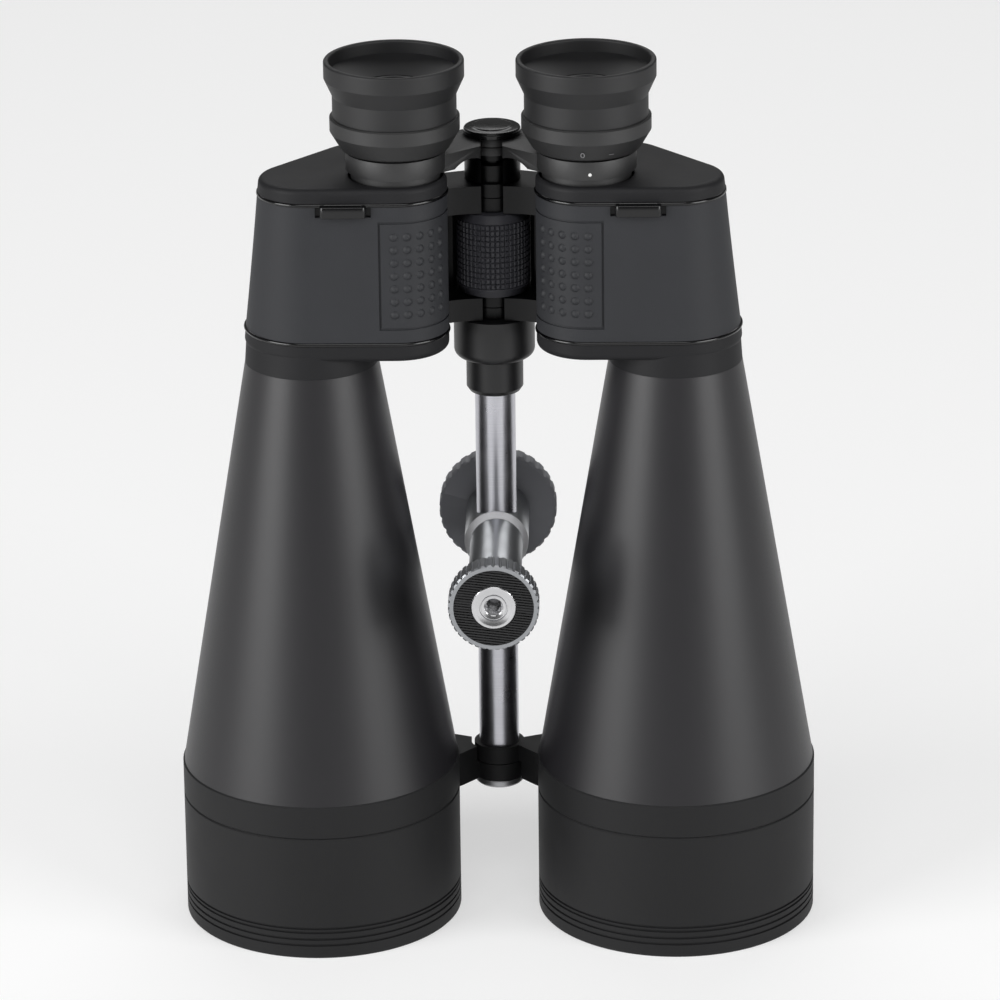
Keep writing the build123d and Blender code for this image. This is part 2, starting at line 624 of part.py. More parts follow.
def porro_prism(place, up):
    """Right-angle prism, its long face on the shelf, ground flat on its ridge and clear of the casting."""
    x, y, heading = place
    half = PRISM_HALF
    rise = half - PRISM_RIDGE / 2
    base = SHELF_Z + SHELF_T + SEAT if up else SHELF_Z - SEAT
    way = 1 if up else -1
    outline = [(-half, 0), (half, 0), (PRISM_RIDGE / 2, way * rise), (-PRISM_RIDGE / 2, way * rise)]
    profile = Plane.XZ * make_face(Polyline(*outline, close=True))
    solid = extrude(profile, PRISM_W / 2, both=True)
    inside = housing_block(HOUSING_Z, HOUSING_TOP, -ARMOUR - HOUSING_WALL - SEAT)
    return Pos(x, y, base) * Rot(0, 0, heading) * solid & inside


def prism_shelf():
    """Plate in the middle of the housing that both prisms are clipped to."""
    plate = housing_block(SHELF_Z, SHELF_Z + SHELF_T, -ARMOUR - HOUSING_WALL - AIR)
    for hole in (OBJECTIVE, prism_frame()[2], EYEPIECE):
        plate -= column(LIGHT_R, SHELF_Z, SHELF_Z + SHELF_T, hole)
    return plate


def prism_clip(place, up):
    """Spring strap over a prism's ridge, with its feet on the shelf."""
    x, y, heading = place
    rise = PRISM_HALF - PRISM_RIDGE / 2 + 2 * SEAT
    inside = PRISM_W / 2 + SEAT
    outside = inside + CLIP_T
    strap = block((-CLIP_W / 2, -outside, 0), (CLIP_W / 2, outside, rise + CLIP_T))
    strap -= block((-CLIP_W, -inside, 0), (CLIP_W, inside, rise))
    if up:
        return Pos(x, y, SHELF_Z + SHELF_T + SEAT) * Rot(0, 0, heading) * strap
    return Pos(x, y, SHELF_Z - SEAT) * Rot(0, 0, heading) * Rot(180, 0, 0) * strap


# Eyepieces
def bridge_arm(upper):
    """Arm of the bridge, arched underneath, with its knuckle and the ring round the eyepiece tube."""
    plan = arm_plan(EYEPIECE, BRIDGE_ARM_R, BRIDGE_LUG_R, LUG_FRONT_GAP)
    shaft_r = TUBE_BORE_R - RUN
    arm = hinge_lug(plan, BRIDGE_Z, BRIDGE_H, upper, BRIDGE_KNUCKLE_R, shaft_r)
    span = hypot(EYEPIECE_X, EYEPIECE_Y - HINGE_Y) - RING_R - BRIDGE_LUG_R
    arch_r = (span**2 / 4 + BRIDGE_ARCH**2) / (2 * BRIDGE_ARCH)
    heading = degrees(atan2(EYEPIECE_Y - HINGE_Y, EYEPIECE_X))
    arch = Rot(90, 0, 0) * Cylinder(arch_r, 4 * BRIDGE_ARM_R)
    arch = Pos(BRIDGE_LUG_R + span / 2, 0, BRIDGE_Z + BRIDGE_ARCH - arch_r) * arch
    arm -= Pos(0, HINGE_Y, 0) * Rot(0, 0, heading) * arch
    arm += column(RING_R, RING_Z, RING_Z + RING_H, EYEPIECE)
    return arm - column(TUBE_R + SEAT, BRIDGE_Z, RING_Z + RING_H, EYEPIECE)


def eyepiece_tube():
    """Tube that slides in the top cover's guide and carries the ocular on its spigot."""
    bore = LENS_CELL_R + RUN
    foot = RECESS_Z + AIR
    ring_top = RING_Z + RING_H
    top = OCULAR_BAND_Z + OCULAR_BAND_H / 2
    return turned(
        [
            (bore, foot - SLIDE_L),
            (SLIDE_R, foot - SLIDE_L),
            (SLIDE_R, foot),
            (TUBE_R, foot),
            (TUBE_R, ring_top),
            (OCULAR_CORE_R, ring_top),
            (OCULAR_CORE_R, top),
            (bore, top),
        ],
        EYEPIECE,
    )


def ocular():
    """Ocular body: tapered grip ring, band and the neck that the eyecup is pushed on."""
    turn_r = OCULAR_CORE_R + RUN
    shelf = OCULAR_BAND_Z + OCULAR_BAND_H / 2 + OCULAR_GAP
    neck_top = EYECUP_Z + EYECUP_SEAT_H
    return turned(
        [
            (turn_r, OCULAR_Z),
            (OCULAR_R_LOW - EDGE_BREAK, OCULAR_Z),
            (OCULAR_R_LOW, OCULAR_Z + EDGE_BREAK),
            (OCULAR_R, OCULAR_BAND_Z + EDGE_BREAK),
            (OCULAR_R, EYECUP_Z - EDGE_BREAK),
            (OCULAR_R - EDGE_BREAK, EYECUP_Z),
            (EYECUP_BORE, EYECUP_Z),
            (EYECUP_BORE, neck_top),
            (LENS_CELL_R + RUN, neck_top),
            (LENS_CELL_R + RUN, shelf),
            (turn_r, shelf),
        ],
        EYEPIECE,
    )


def eyecup():
    """Flared rubber eyecup with a sloping shoulder round the eye lens."""
    neck_r = EYECUP_BORE + SEAT
    neck_top = EYECUP_Z + EYECUP_SEAT_H + SEAT
    flare_z = EYECUP_Z + EYECUP_NECK_H
    rim_z = flare_z + EYECUP_FLARE_H
    mouth_r = EYECUP_RIM_R - EYECUP_RIM_WALL
    cup = turned(
        [
            (neck_r, EYECUP_Z + SEAT),
            (EYECUP_R, EYECUP_Z + SEAT),
            (EYECUP_R, flare_z),
            (EYECUP_RIM_R, rim_z),
            (EYECUP_RIM_R, EYECUP_TOP),
            (mouth_r, EYECUP_TOP),
            (mouth_r, EYECUP_TOP - EYECUP_DEPTH),
            (FUNNEL_R, FUNNEL_Z),
            (FUNNEL_R, neck_top),
            (neck_r, neck_top),
        ],
        EYEPIECE,
    )
    return fillet(cup.edges().sort_by(Axis.Z)[-2:], EYECUP_ROUND)


def lens_cell():
    """Inner tube that holds the eye lens and the field lens."""
    bore = LENS_CELL_R - LENS_CELL_WALL
    outline = [
        (bore, LENS_CELL_Z),
        (LENS_CELL_R, LENS_CELL_Z),
        (LENS_CELL_R, FUNNEL_Z),
        (bore, FUNNEL_Z),
    ]
    return turned(outline, EYEPIECE)


def eye_lens():
    """Glass next to the eye, just under the mouth of its cell."""
    high = FUNNEL_Z - EYE_LENS_SAG
    radius = LENS_CELL_R - LENS_CELL_WALL - SEAT
    return lens(radius, high - EYE_LENS_EDGE, high, -EYE_LENS_SAG, EYE_LENS_SAG, EYEPIECE)


def field_lens():
    """Glass at the lower end of the lens cell."""
    low = LENS_CELL_Z + FIELD_LENS_SAG
    radius = LENS_CELL_R - LENS_CELL_WALL - SEAT
    return lens(radius, low, low + FIELD_LENS_EDGE, -FIELD_LENS_SAG, FIELD_LENS_SAG, EYEPIECE)


# Central hinge and focus drive
def rod():
    """Chrome rod between the lower hinge and the hub."""
    return column(ROD_R, ROD_FOOT_Z + CAP_FLOOR, TUBE_SEAT_Z - SEAT, HINGE)


def end_cap():
    """Chamfered cap screwed on the rod under the lower knuckles."""
    low, high = ROD_FOOT_Z, FOOT_LUG_Z - AIR
    bore, floor = ROD_R + SEAT, ROD_FOOT_Z + CAP_FLOOR
    chamfer_r = CAP_R - 2 * EDGE_BREAK
    outline = [
        (0, low),
        (chamfer_r, low),
        (CAP_R, low + 2 * EDGE_BREAK),
        (CAP_R, high),
        (bore, high),
        (bore, floor - SEAT),
        (0, floor - SEAT),
    ]
    return turned(outline, HINGE)


def hub():
    """Hub under the lower lugs, rounded into the collar that grips the rod."""
    top = LOWER_LUG_Z - AIR
    shoulder = top - HUB_H
    foot = shoulder - COLLAR_H
    bore = ROD_R + SEAT
    body = turned([(bore, shoulder), (HUB_R, shoulder), (HUB_R, top), (bore, top)], HINGE)
    outer = body.edges().filter_by(GeomType.CIRCLE).group_by(SortBy.RADIUS)[-1]
    body = fillet(outer.sort_by(Axis.Z)[:1], HUB_ROUND)
    chamfer_z = foot + 3 * EDGE_BREAK
    outline = [(bore, foot), (COLLAR_R - 2 * EDGE_BREAK, foot), (COLLAR_R, chamfer_z)]
    return body + turned(outline + [(COLLAR_R, shoulder), (bore, shoulder)], HINGE)


def hinge_tube():
    """Tube that the upper knuckles and the wheel turn on, slotted for the follower pin."""
    tube = column(ROD_R, TUBE_SEAT_Z, TUBE_TOP, HINGE)
    tube -= column(TUBE_BORE_R, TUBE_SEAT_Z, TUBE_TOP, HINGE)
    side = PIN_R + RUN
    low, high = PIN_Z - side, PIN_Z + FOCUS_TRAVEL + side
    return tube - block((-ROD_R, HINGE_Y - side, low), (ROD_R, HINGE_Y + side, high))


def shaft_sleeve():
    """Black sleeve on the hinge tube above the upper lugs, slotted in front."""
    low, top, gap = SLEEVE_Z, SLEEVE_TOP, LUG_FRONT_GAP
    ring = column(SLEEVE_R, low, top, HINGE) - column(ROD_R + SEAT, low, top, HINGE)
    return ring - block((-gap, HINGE_Y - SLEEVE_R, low), (gap, HINGE_Y, top))


def focus_wheel():
    """Focus wheel: fluted grip between two smooth chamfered rims, hollow for the follower pin."""
    low, high = WHEEL_Z, WHEEL_Z + WHEEL_H
    bore, relief = ROD_R + RUN, WHEEL_RELIEF_R
    rim_r = WHEEL_R - WHEEL_CHAMFER
    wheel = turned(
        [
            (bore, low),
            (rim_r, low),
            (WHEEL_R, low + WHEEL_RIM_H),
            (WHEEL_R, high - WHEEL_RIM_H),
            (rim_r, high),
            (bore, high),
            (bore, high - WHEEL_RIM_H),
            (relief, high - WHEEL_RIM_H),
            (relief, low + WHEEL_RIM_H),
            (bore, low + WHEEL_RIM_H),
        ],
        HINGE,
    )
    depth = WHEEL_FLUTE_DEPTH
    flute = Pos(WHEEL_R, 0, (low + high) / 2) * Box(2 * depth, WHEEL_FLUTE, WHEEL_H - 2 * WHEEL_RIM_H)
    cuts = [Rot(0, 0, 360 * i / WHEEL_FLUTES) * flute for i in range(WHEEL_FLUTES)]
    return wheel - [Pos(0, HINGE_Y, 0) * cut for cut in cuts]


def focus_shaft():
    """Shaft inside the hinge tube that lifts the bridge, with a flange under the arms."""
    radius = TUBE_BORE_R - RUN
    flange_top = BRIDGE_Z - SEAT
    shaft = column(radius, PIN_Z - SHAFT_L_BELOW, BRIDGE_Z + BRIDGE_H + BRIDGE_CAP_H / 2, HINGE)
    flange_r = TUBE_BORE_R + FLANGE_STEP
    shaft += column(flange_r, flange_top - FLANGE_H, flange_top, HINGE)
    hole = Pos(0, HINGE_Y, PIN_Z) * Rot(0, 90, 0) * Cylinder(PIN_R + SEAT, 4 * radius)
    return shaft - hole


def focus_pin():
    """Cross pin that follows the wheel and moves the shaft."""
    length = 2 * (WHEEL_RELIEF_R - AIR)
    return Pos(0, HINGE_Y, PIN_Z) * Rot(0, 90, 0) * Cylinder(PIN_R, length)


def bridge_cap():
    """Round cap over the bridge knuckles, with a raised land in the middle."""
    low = BRIDGE_Z + BRIDGE_H + AIR
    rim = low + BRIDGE_CAP_H - BRIDGE_CAP_LAND
    bore, floor = TUBE_BORE_R - RUN + SEAT, BRIDGE_Z + BRIDGE_H + BRIDGE_CAP_H / 2 + SEAT
    return turned(
        [
            (bore, low),
            (BRIDGE_CAP_R, low),
            (BRIDGE_CAP_R, rim - EDGE_BREAK),
            (BRIDGE_CAP_R - EDGE_BREAK, rim),
            (BRIDGE_CAP_R - BRIDGE_CAP_EDGE + BRIDGE_CAP_LAND, rim),
            (BRIDGE_CAP_R - BRIDGE_CAP_EDGE, rim + BRIDGE_CAP_LAND),
            (0, rim + BRIDGE_CAP_LAND),
            (0, floor),
            (bore, floor),
        ],
        HINGE,
    )


# Tripod carrier
def carrier_post():
    """Post that slides on the rod: a thick barrel, a neck and the bores for rod, bush and screw."""
    bush_bore = BUSH_R + SEAT
    bush_floor = FOOT_FRONT_Y + BUSH_L + SEAT
    outline = [
        (0, bush_floor),
        (bush_bore, bush_floor),
        (bush_bore, POST_FRONT_Y),
        (POST_NECK_R, POST_FRONT_Y),
        (POST_NECK_R, POST_STEP_Y),
        (POST_BARREL_R - POST_CHAMFER, POST_STEP_Y),
        (POST_BARREL_R, POST_STEP_Y + POST_CHAMFER),
        (POST_BARREL_R, POST_BACK_Y - POST_CHAMFER),
        (POST_BARREL_R - POST_CHAMFER, POST_BACK_Y),
        (0, POST_BACK_Y),
    ]
    post = turned_y(outline)
    post -= column(ROD_R + RUN, CARRIER_Z - POST_BARREL_R, CARRIER_Z + POST_BARREL_R, HINGE)
    return post - bar_y(SCREW_R + RUN, HINGE_Y, POST_BACK_Y)


def foot():
    """Knurled foot that the tripod adapter is pulled against."""
    front, back = FOOT_FRONT_Y, POST_FRONT_Y - SEAT
    pad_floor, pad_bore = FOOT_FRONT_Y + PAD_T + SEAT, PAD_R + SEAT
    bush_bore = BUSH_R + SEAT
    disc = turned_y(
        [
            (bush_bore, pad_floor),
            (pad_bore, pad_floor),
            (pad_bore, front),
            (FOOT_R - EDGE_BREAK, front),
            (FOOT_R, front + EDGE_BREAK),
            (FOOT_R, back - EDGE_BREAK),
            (FOOT_R - EDGE_BREAK, back),
            (bush_bore, back),
        ]
    )
    flute = Rot(90, 0, 0) * Cylinder(FOOT_FLUTE / 2, 4 * FOOT_T)
    places = [Rot(0, 360 * i / FOOT_FLUTES, 0) * Pos(FOOT_R, 0, 0) for i in range(FOOT_FLUTES)]
    return disc - [Pos(0, front, CARRIER_Z) * place * flute for place in places]


def foot_pad():
    """Rubber washer let into the foot."""
    outer = bar_y(PAD_R, FOOT_FRONT_Y, FOOT_FRONT_Y + PAD_T)
    return outer - bar_y(BUSH_R + SEAT, FOOT_FRONT_Y, FOOT_FRONT_Y + PAD_T)


def thread_bush():
    """Chrome bush with a dished face and the tripod thread, which clamps the foot to the post."""
    front, dish = FOOT_FRONT_Y, FOOT_FRONT_Y + BUSH_DISH
    return turned_y(
        [
            (THREAD_R + THREAD_MOUTH, dish),
            (BUSH_DISH_R, dish),
            (BUSH_R - EDGE_BREAK - BUSH_RIM, front),
            (BUSH_R - EDGE_BREAK, front),
            (BUSH_R, front + EDGE_BREAK),
            (BUSH_R, front + BUSH_L),
            (0, front + BUSH_L),
            (0, THREAD_Y + THREAD_L),
            (THREAD_R, THREAD_Y + THREAD_L),
            (THREAD_R, THREAD_Y),
        ]
    )


def clamp_shoe():
    """Shoe that the screw presses against the rod, hollowed to the rod's curve."""
    shoe = bar_y(SCREW_R, HINGE_Y, SHOE_Y + SHOE_L)
    return shoe - column(ROD_R + 2 * RUN, CARRIER_Z - ROD_R, CARRIER_Z + ROD_R, HINGE)


def lock_knob():
    """Knob with a scalloped rim, and its screw."""
    near, far = POST_BACK_Y + KNOB_GAP, POST_BACK_Y + KNOB_GAP + KNOB_T
    knob = turned_y(
        [
            (0, near),
            (KNOB_R - 2 * EDGE_BREAK, near),
            (KNOB_R, near + 2 * EDGE_BREAK),
            (KNOB_R, far - 2 * EDGE_BREAK),
            (KNOB_R - 2 * EDGE_BREAK, far),
            (0, far),
        ]
    )
    notch = Rot(90, 0, 0) * Cylinder(KNOB_NOTCH_R, 4 * KNOB_T)
    reach = KNOB_R + KNOB_NOTCH_R - KNOB_NOTCH_DEPTH
    places = [Rot(0, 360 * i / KNOB_NOTCHES, 0) * Pos(reach, 0, 0) for i in range(KNOB_NOTCHES)]
    knob -= [Pos(0, near, CARRIER_Z) * place * notch for place in places]
    return knob + bar_y(SCREW_R, SHOE_Y + SHOE_L + SEAT, near)


# Assembly
def half(upper):
    """Every node of one half, drawn on the right; upper says which storey its knuckles take."""
    upper_place, lower_place, _ = prism_frame()
    clips = prism_clip(upper_place, True) + prism_clip(lower_place, False)
    return {
        "hood": hood(),
        "cell_ring": cell_ring(upper),
        "objective_retainer": retainer(),
        "objective_front_lens": crown_lens(),
        "objective_rear_lens": flint_lens(),
        "barrel": barrel(),
        "bottom_cover": bottom_cover(),
        "prism_housing": prism_housing(upper),
        "armour": armour(),
        "prism_shelf": prism_shelf(),
        "upper_prism": porro_prism(upper_place, True),
        "lower_prism": porro_prism(lower_place, False),
        "prism_clips": clips,
        "top_cover": top_cover(),
        "strap_lug": strap_lug(),
        "bridge_arm": bridge_arm(upper),
        "eyepiece_tube": eyepiece_tube(),
        "ocular": ocular(),
        "eyecup": eyecup(),
        "lens_cell": lens_cell(),
        "eye_lens": eye_lens(),
        "field_lens": field_lens(),
    }


def assembly():
    """All nodes by name, in place."""
    nodes = {f"right_{name}": solid for name, solid in half(upper=True).items()}
    for name, solid in half(upper=False).items():
        nodes[f"left_{name}"] = mirror(solid, about=Plane.YZ)
    centre = (
        rod, end_cap, hub, hinge_tube, shaft_sleeve, focus_wheel, focus_shaft, focus_pin,
        bridge_cap, carrier_post, foot, foot_pad, thread_bush, clamp_shoe, lock_knob,
    )
    nodes.update({maker.__name__: maker() for maker in centre})
    return nodes


os.makedirs("parts", exist_ok=True)
for node, solid in assembly().items():
    solid.label = node
    export_step(solid, f"parts/{node}.step")
    print(node, len(solid.solids()), round(solid.volume))
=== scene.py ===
# %% [markdown]
# # Giant porro binoculars: surfaces and fine detail
# A pair of 20x80 binoculars stands upright on its two lens hoods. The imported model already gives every
# piece its shape, its place and its joint. This lesson gives each piece the surface of its real material,
# and models what is finer than the CAD: the knurl of the focus wheel, the ribs of the tripod pad, the
# thread in the bush, rounded edges, the beads at the seams and the marks of the dioptre ring.

import json
import math

import bmesh
import bpy
from mathutils import Matrix, Vector


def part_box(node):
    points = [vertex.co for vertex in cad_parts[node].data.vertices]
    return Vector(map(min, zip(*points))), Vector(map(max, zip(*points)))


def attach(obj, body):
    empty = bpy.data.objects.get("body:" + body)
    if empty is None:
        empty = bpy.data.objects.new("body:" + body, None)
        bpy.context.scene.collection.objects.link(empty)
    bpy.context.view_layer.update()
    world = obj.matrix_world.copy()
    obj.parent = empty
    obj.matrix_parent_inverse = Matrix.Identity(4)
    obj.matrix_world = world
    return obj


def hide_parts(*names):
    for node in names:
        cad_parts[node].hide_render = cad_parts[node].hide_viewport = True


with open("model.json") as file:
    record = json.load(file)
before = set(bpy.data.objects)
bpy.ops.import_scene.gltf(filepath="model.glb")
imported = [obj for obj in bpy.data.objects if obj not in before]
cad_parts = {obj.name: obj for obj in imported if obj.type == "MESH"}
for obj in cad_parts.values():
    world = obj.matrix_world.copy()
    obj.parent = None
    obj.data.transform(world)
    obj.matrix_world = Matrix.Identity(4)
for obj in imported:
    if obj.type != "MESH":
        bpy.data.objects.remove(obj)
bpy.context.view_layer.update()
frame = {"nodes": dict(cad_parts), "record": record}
nodes = frame["nodes"]
MM = 0.001

# %% [markdown]
# ## Camera
# The photograph was taken with a long lens from about two metres away and 21 degrees above the table, with
# the camera a little turned about its own line of sight. A camera could be aimed with a constraint, but a
# matrix of three plain steps (stand there, tip down, roll) shows what each number does.

# %% Camera at the photograph's angle
CAMERA_PLACE = Vector((0.0, -1.9252, 0.8814))  # m
CAMERA_ROUND = math.radians(1.2)  # round the object, to the right
CAMERA_DOWN = math.radians(20.758)
CAMERA_ROLL = -0.0124  # radians, about its line of sight
CAMERA_LENS = 214.38  # mm, on the usual 36 mm sensor
CAMERA_SHIFT = 0.0046  # of the picture's width
CAMERA_FAR = 50.0  # m, nothing beyond is drawn

camera = bpy.data.objects.new("camera", bpy.data.cameras.new("camera"))
bpy.context.scene.collection.objects.link(camera)
camera.data.lens = CAMERA_LENS
camera.data.shift_x = CAMERA_SHIFT
camera.data.clip_end = CAMERA_FAR
tip = Matrix.Rotation(math.pi / 2 - CAMERA_DOWN, 4, "X")
stand = Matrix.Rotation(CAMERA_ROUND, 4, "Z") @ Matrix.Translation(CAMERA_PLACE)
camera.matrix_world = stand @ tip @ Matrix.Rotation(CAMERA_ROLL, 4, "Z")
bpy.context.scene.camera = camera
bpy.context.scene.view_settings.view_transform = "Standard"
print("camera", round(camera.location.length, 2), "m from the foot of the object")

# %% [markdown]
# ## Tools for every surface
# Colours are written as sRGB hex codes, as a paint program shows them, and the shader wants linear light,
# so one function turns the first into the second. One more function adds a node: its settings are named
# arguments, and each input takes either a plain value or the output of another node, which it links.
# Rubber, enamel, plastic and metal all vary their colour, roughness and relief a little, so one function
# links those three, and another makes the noise that drives them.

# %% Colour and node helpers
def srgb(code):
    """An sRGB hex code as linear red, green, blue and alpha."""
    parts = [int(code[i : i + 2], 16) / 255 for i in (1, 3, 5)]
    return tuple(p / 12.92 if p <= 0.04045 else ((p + 0.055) / 1.055) ** 2.4 for p in parts) + (1.0,)


def add(tree, kind, inputs, **settings):
    """Adds a node, sets it up and fills or links its inputs."""
    node = tree.nodes.new("ShaderNode" + kind)
    for name, value in settings.items():
        setattr(node, name, value)
    for name, value in inputs.items():
        if isinstance(value, bpy.types.NodeSocket):
            tree.links.new(value, node.inputs[name])
        else:
            node.inputs[name].default_value = value
    return node


def surface(name, **sockets):
    """Starts a material: its tree, its shader with plain values set, and the object coordinates."""
    material = bpy.data.materials.new(name)
    material.use_nodes = True
    tree = material.node_tree
    shader = tree.nodes["Principled BSDF"]
    for socket, value in sockets.items():
        shader.inputs[socket.replace("_", " ")].default_value = value
    where = add(tree, "TexCoord", {}).outputs["Object"]
    return material, tree, shader.inputs, where


def per_metre(size_mm):
    """Scale of a texture whose pattern repeats about every so many millimetres."""
    return 1 / (size_mm * MM)


def vary(tree, socket, tint_by, colours, rough_by, rough_range, bump_by, depth_mm):
    """Lets one texture mix two colours, one spread the roughness and one raise a bump."""
    first, second = (srgb(code) for code in colours)
    smoothest, roughest = rough_range
    height = depth_mm * MM
    tint = add(tree, "Mix", {"Factor": tint_by, "A": first, "B": second}, data_type="RGBA")
    rough = add(tree, "MapRange", {"Value": rough_by, "To Min": smoothest, "To Max": roughest})
    bump = add(tree, "Bump", {"Height": bump_by, "Distance": height, "Strength": 1.0})
    tree.links.new(tint.outputs["Result"], socket["Base Color"])
    tree.links.new(rough.outputs["Result"], socket["Roughness"])
    tree.links.new(bump.outputs["Normal"], socket["Normal"])


def noise(tree, where, size_mm, detail, distortion=0.0):
    """The factor of a noise whose clouds are about so many millimetres across."""
    inputs = {"Vector": where, "Scale": per_metre(size_mm), "Detail": detail, "Distortion": distortion}
    return add(tree, "TexNoise", inputs).outputs["Fac"]


print("black rubber #2A2A2C is", [round(v, 4) for v in srgb("#2A2A2C")[:3]])

# %% [markdown]
# ## Floor and light
# The object stands on a plain white table. The light is that of a small product studio: two tall soft
# boxes, left and right of the camera, that draw the soft upright highlights on the barrels, one in front and
# above for the pieces between the barrels, a wide one behind and above for the insides of the eyecups and
# the far part of the table, and a weak even light from everywhere, so that no black turns empty. A lamp's
# power spread over its area sets how bright it looks in a reflection. White paper under these lamps would
# still photograph as grey, so the table gets a little white of its own, for what the lens sees directly, in
# a reflection or through glass. No other ray meets it, so it adds no diffuse light to the object.

# %% Floor and lamps
FLOOR_COLOUR = "#C4C4C4"
FLOOR_ROUGHNESS = 0.9
FLOOR_GLOW = 0.46  # white that the lens sees on top of the lit paper
WHITE = (1.0, 1.0, 1.0, 1.0)
WORLD_LEVEL = 0.1
FLOOR_HALF = 6.0  # m
SOFT_BOXES = {  # place, width and height in m, brightness
    "left_box": ((-1.75, -1.2, 0.75), (1.3, 1.5), 7.0),
    "right_box": ((1.75, -1.2, 0.75), (1.3, 1.5), 5.6),
    "top_box": ((0.0, -1.2, 1.6), (1.3, 1.1), 2.2),
    "back_box": ((0.0, 1.5, 1.6), (2.2, 0.9), 2.2),
}
AIM = Vector((0.0, 0.0, 0.15))  # m, the middle of the object

floor_mesh = bmesh.new()
bmesh.ops.create_grid(floor_mesh, x_segments=1, y_segments=1, size=FLOOR_HALF)
floor = bpy.data.objects.new("floor", bpy.data.meshes.new("floor"))
floor_mesh.to_mesh(floor.data)
floor_mesh.free()
bpy.context.scene.collection.objects.link(floor)
paper, tree, socket, _ = surface(
    "white_table",
    Base_Color=srgb(FLOOR_COLOUR),
    Roughness=FLOOR_ROUGHNESS,
    Specular_IOR_Level=0.0,
    Emission_Color=WHITE,
)
ray = add(tree, "LightPath", {}).outputs
either = {0: ray["Is Glossy Ray"], 1: ray["Is Transmission Ray"]}
mirrored = add(tree, "Math", either, operation="MAXIMUM").outputs["Value"]
seen = add(tree, "Math", {0: ray["Is Camera Ray"], 1: mirrored}, operation="MAXIMUM").outputs["Value"]
glow = add(tree, "Math", {0: seen, 1: FLOOR_GLOW}, operation="MULTIPLY").outputs["Value"]
tree.links.new(glow, socket["Emission Strength"])
floor.data.materials.append(paper)

world = bpy.data.worlds.new("studio")
world.use_nodes = True
world.node_tree.nodes["Background"].inputs["Color"].default_value = (WORLD_LEVEL,) * 3 + (1.0,)
bpy.context.scene.world = world

for name, (place, (width, height), level) in SOFT_BOXES.items():
    lamp = bpy.data.lights.new(name, "AREA")
    lamp.shape = "RECTANGLE"
    lamp.size, lamp.size_y = width, height
    lamp.energy = level * math.pi * width * height
    box = bpy.data.objects.new(name, lamp)
    box.location = place
    box.rotation_euler = (AIM - Vector(place)).to_track_quat("-Z", "Y").to_euler()
    bpy.context.scene.collection.objects.link(box)
    print(name, round(lamp.energy, 1), "W")

# %% [markdown]
# ## Rubber
# The hoods, the covers, the armour of the prism housings, the eyecups, the focus wheel and the pad of the
# tripod foot are black rubber, moulded or vulcanised in a steel mould. The mould was blasted with grit, so
# the skin has a fine grain that spreads every highlight, and handling leaves faint paler and darker clouds.
# A noise of the grain's size feeds a bump, and a much larger one varies the colour and the roughness a
# little. The real grain of about 0.2 mm would vanish in the picture, so it is drawn about twice as coarse.

# %% Rubber skins
HANDLED_MM, HANDLED_SPREAD = 14, 0.06  # size of the clouds, and what they add to or take from the roughness


def rubber(name, colour, worn, roughness, grain_mm, depth_mm, ior=1.4):
    """Moulded black rubber: a grained skin with faint clouds from handling."""
    material, tree, socket, where = surface(name, IOR=ior)
    cloud = noise(tree, where, HANDLED_MM, 3.0)
    grain = noise(tree, where, grain_mm, 2.0)
    rough_range = (roughness - HANDLED_SPREAD, roughness + HANDLED_SPREAD)
    vary(tree, socket, cloud, (colour, worn), cloud, rough_range, grain, depth_mm)
    return material


armour_skin = rubber("armour_rubber_moulded", "#222326", "#292A2D", 0.6, 0.45, 0.03)
cover_skin = rubber("cover_rubber_moulded", "#131315", "#171719", 0.6, 0.45, 0.02, ior=1.34)
hood_skin = rubber("hood_rubber_vulcanised", "#151516", "#19191A", 0.6, 0.5, 0.03, ior=1.35)
eyecup_skin = rubber("eyecup_rubber_soft", "#0C0C0D", "#101012", 0.58, 0.5, 0.01, ior=1.5)
wheel_skin = rubber("wheel_rubber_hard", "#37373C", "#3D3D42", 0.42, 0.6, 0.01)
pad_skin = rubber("pad_rubber_ribbed", "#1D1D1E", "#232324", 0.55, 0.5, 0.02)
rubbers = (armour_skin, cover_skin, hood_skin, eyecup_skin, wheel_skin, pad_skin)
print("rubbers", [m.name for m in rubbers])

# %% [markdown]
# ## Black enamel
# The cones are spun aluminium, sprayed with a satin black stoving enamel that has a faint purple cast.
# Sprayed enamel dries with a slight waviness, called orange peel, a few millimetres across: it makes the
# edges of the long highlights swim a little. The bridge has a duller enamel, the hinge castings a glossier
# one, and the edge of the casting that shows at the seams the glossiest.

# %% Enamelled metal
SPRAYED_MM = 22  # size of the thicker and thinner clouds
DUST_MM, DUST_SPREAD = 0.6, 0.05  # size of the dust, and what it adds to or takes from the roughness


def enamel(name, colour, deep, roughness, peel_mm, peel_depth_mm, ior=1.5):
    """Sprayed stoving enamel over metal, with orange peel."""
    material, tree, socket, where = surface(name, IOR=ior)
    cloud = noise(tree, where, SPRAYED_MM, 2.0)
    peel = noise(tree, where, peel_mm, 1.0)
    dust = noise(tree, where, DUST_MM, 1.0)
    rough_range = (roughness - DUST_SPREAD, roughness + DUST_SPREAD)
    vary(tree, socket, cloud, (colour, deep), dust, rough_range, peel, peel_depth_mm)
    return material


barrel_enamel = enamel("barrel_enamel_satin", "#171619", "#141316", 0.42, 2.4, 0.01)
bridge_enamel = enamel("bridge_enamel_satin", "#060607", "#050506", 0.56, 2.0, 0.006, ior=1.66)
casting_enamel = enamel("casting_enamel_gloss", "#050506", "#030304", 0.35, 2.6, 0.004, ior=1.33)
bead_enamel = enamel("bead_enamel_gloss", "#050506", "#040405", 0.18, 2.6, 0.002)
print("enamels", [m.name for m in (barrel_enamel, bridge_enamel, casting_enamel, bead_enamel)])

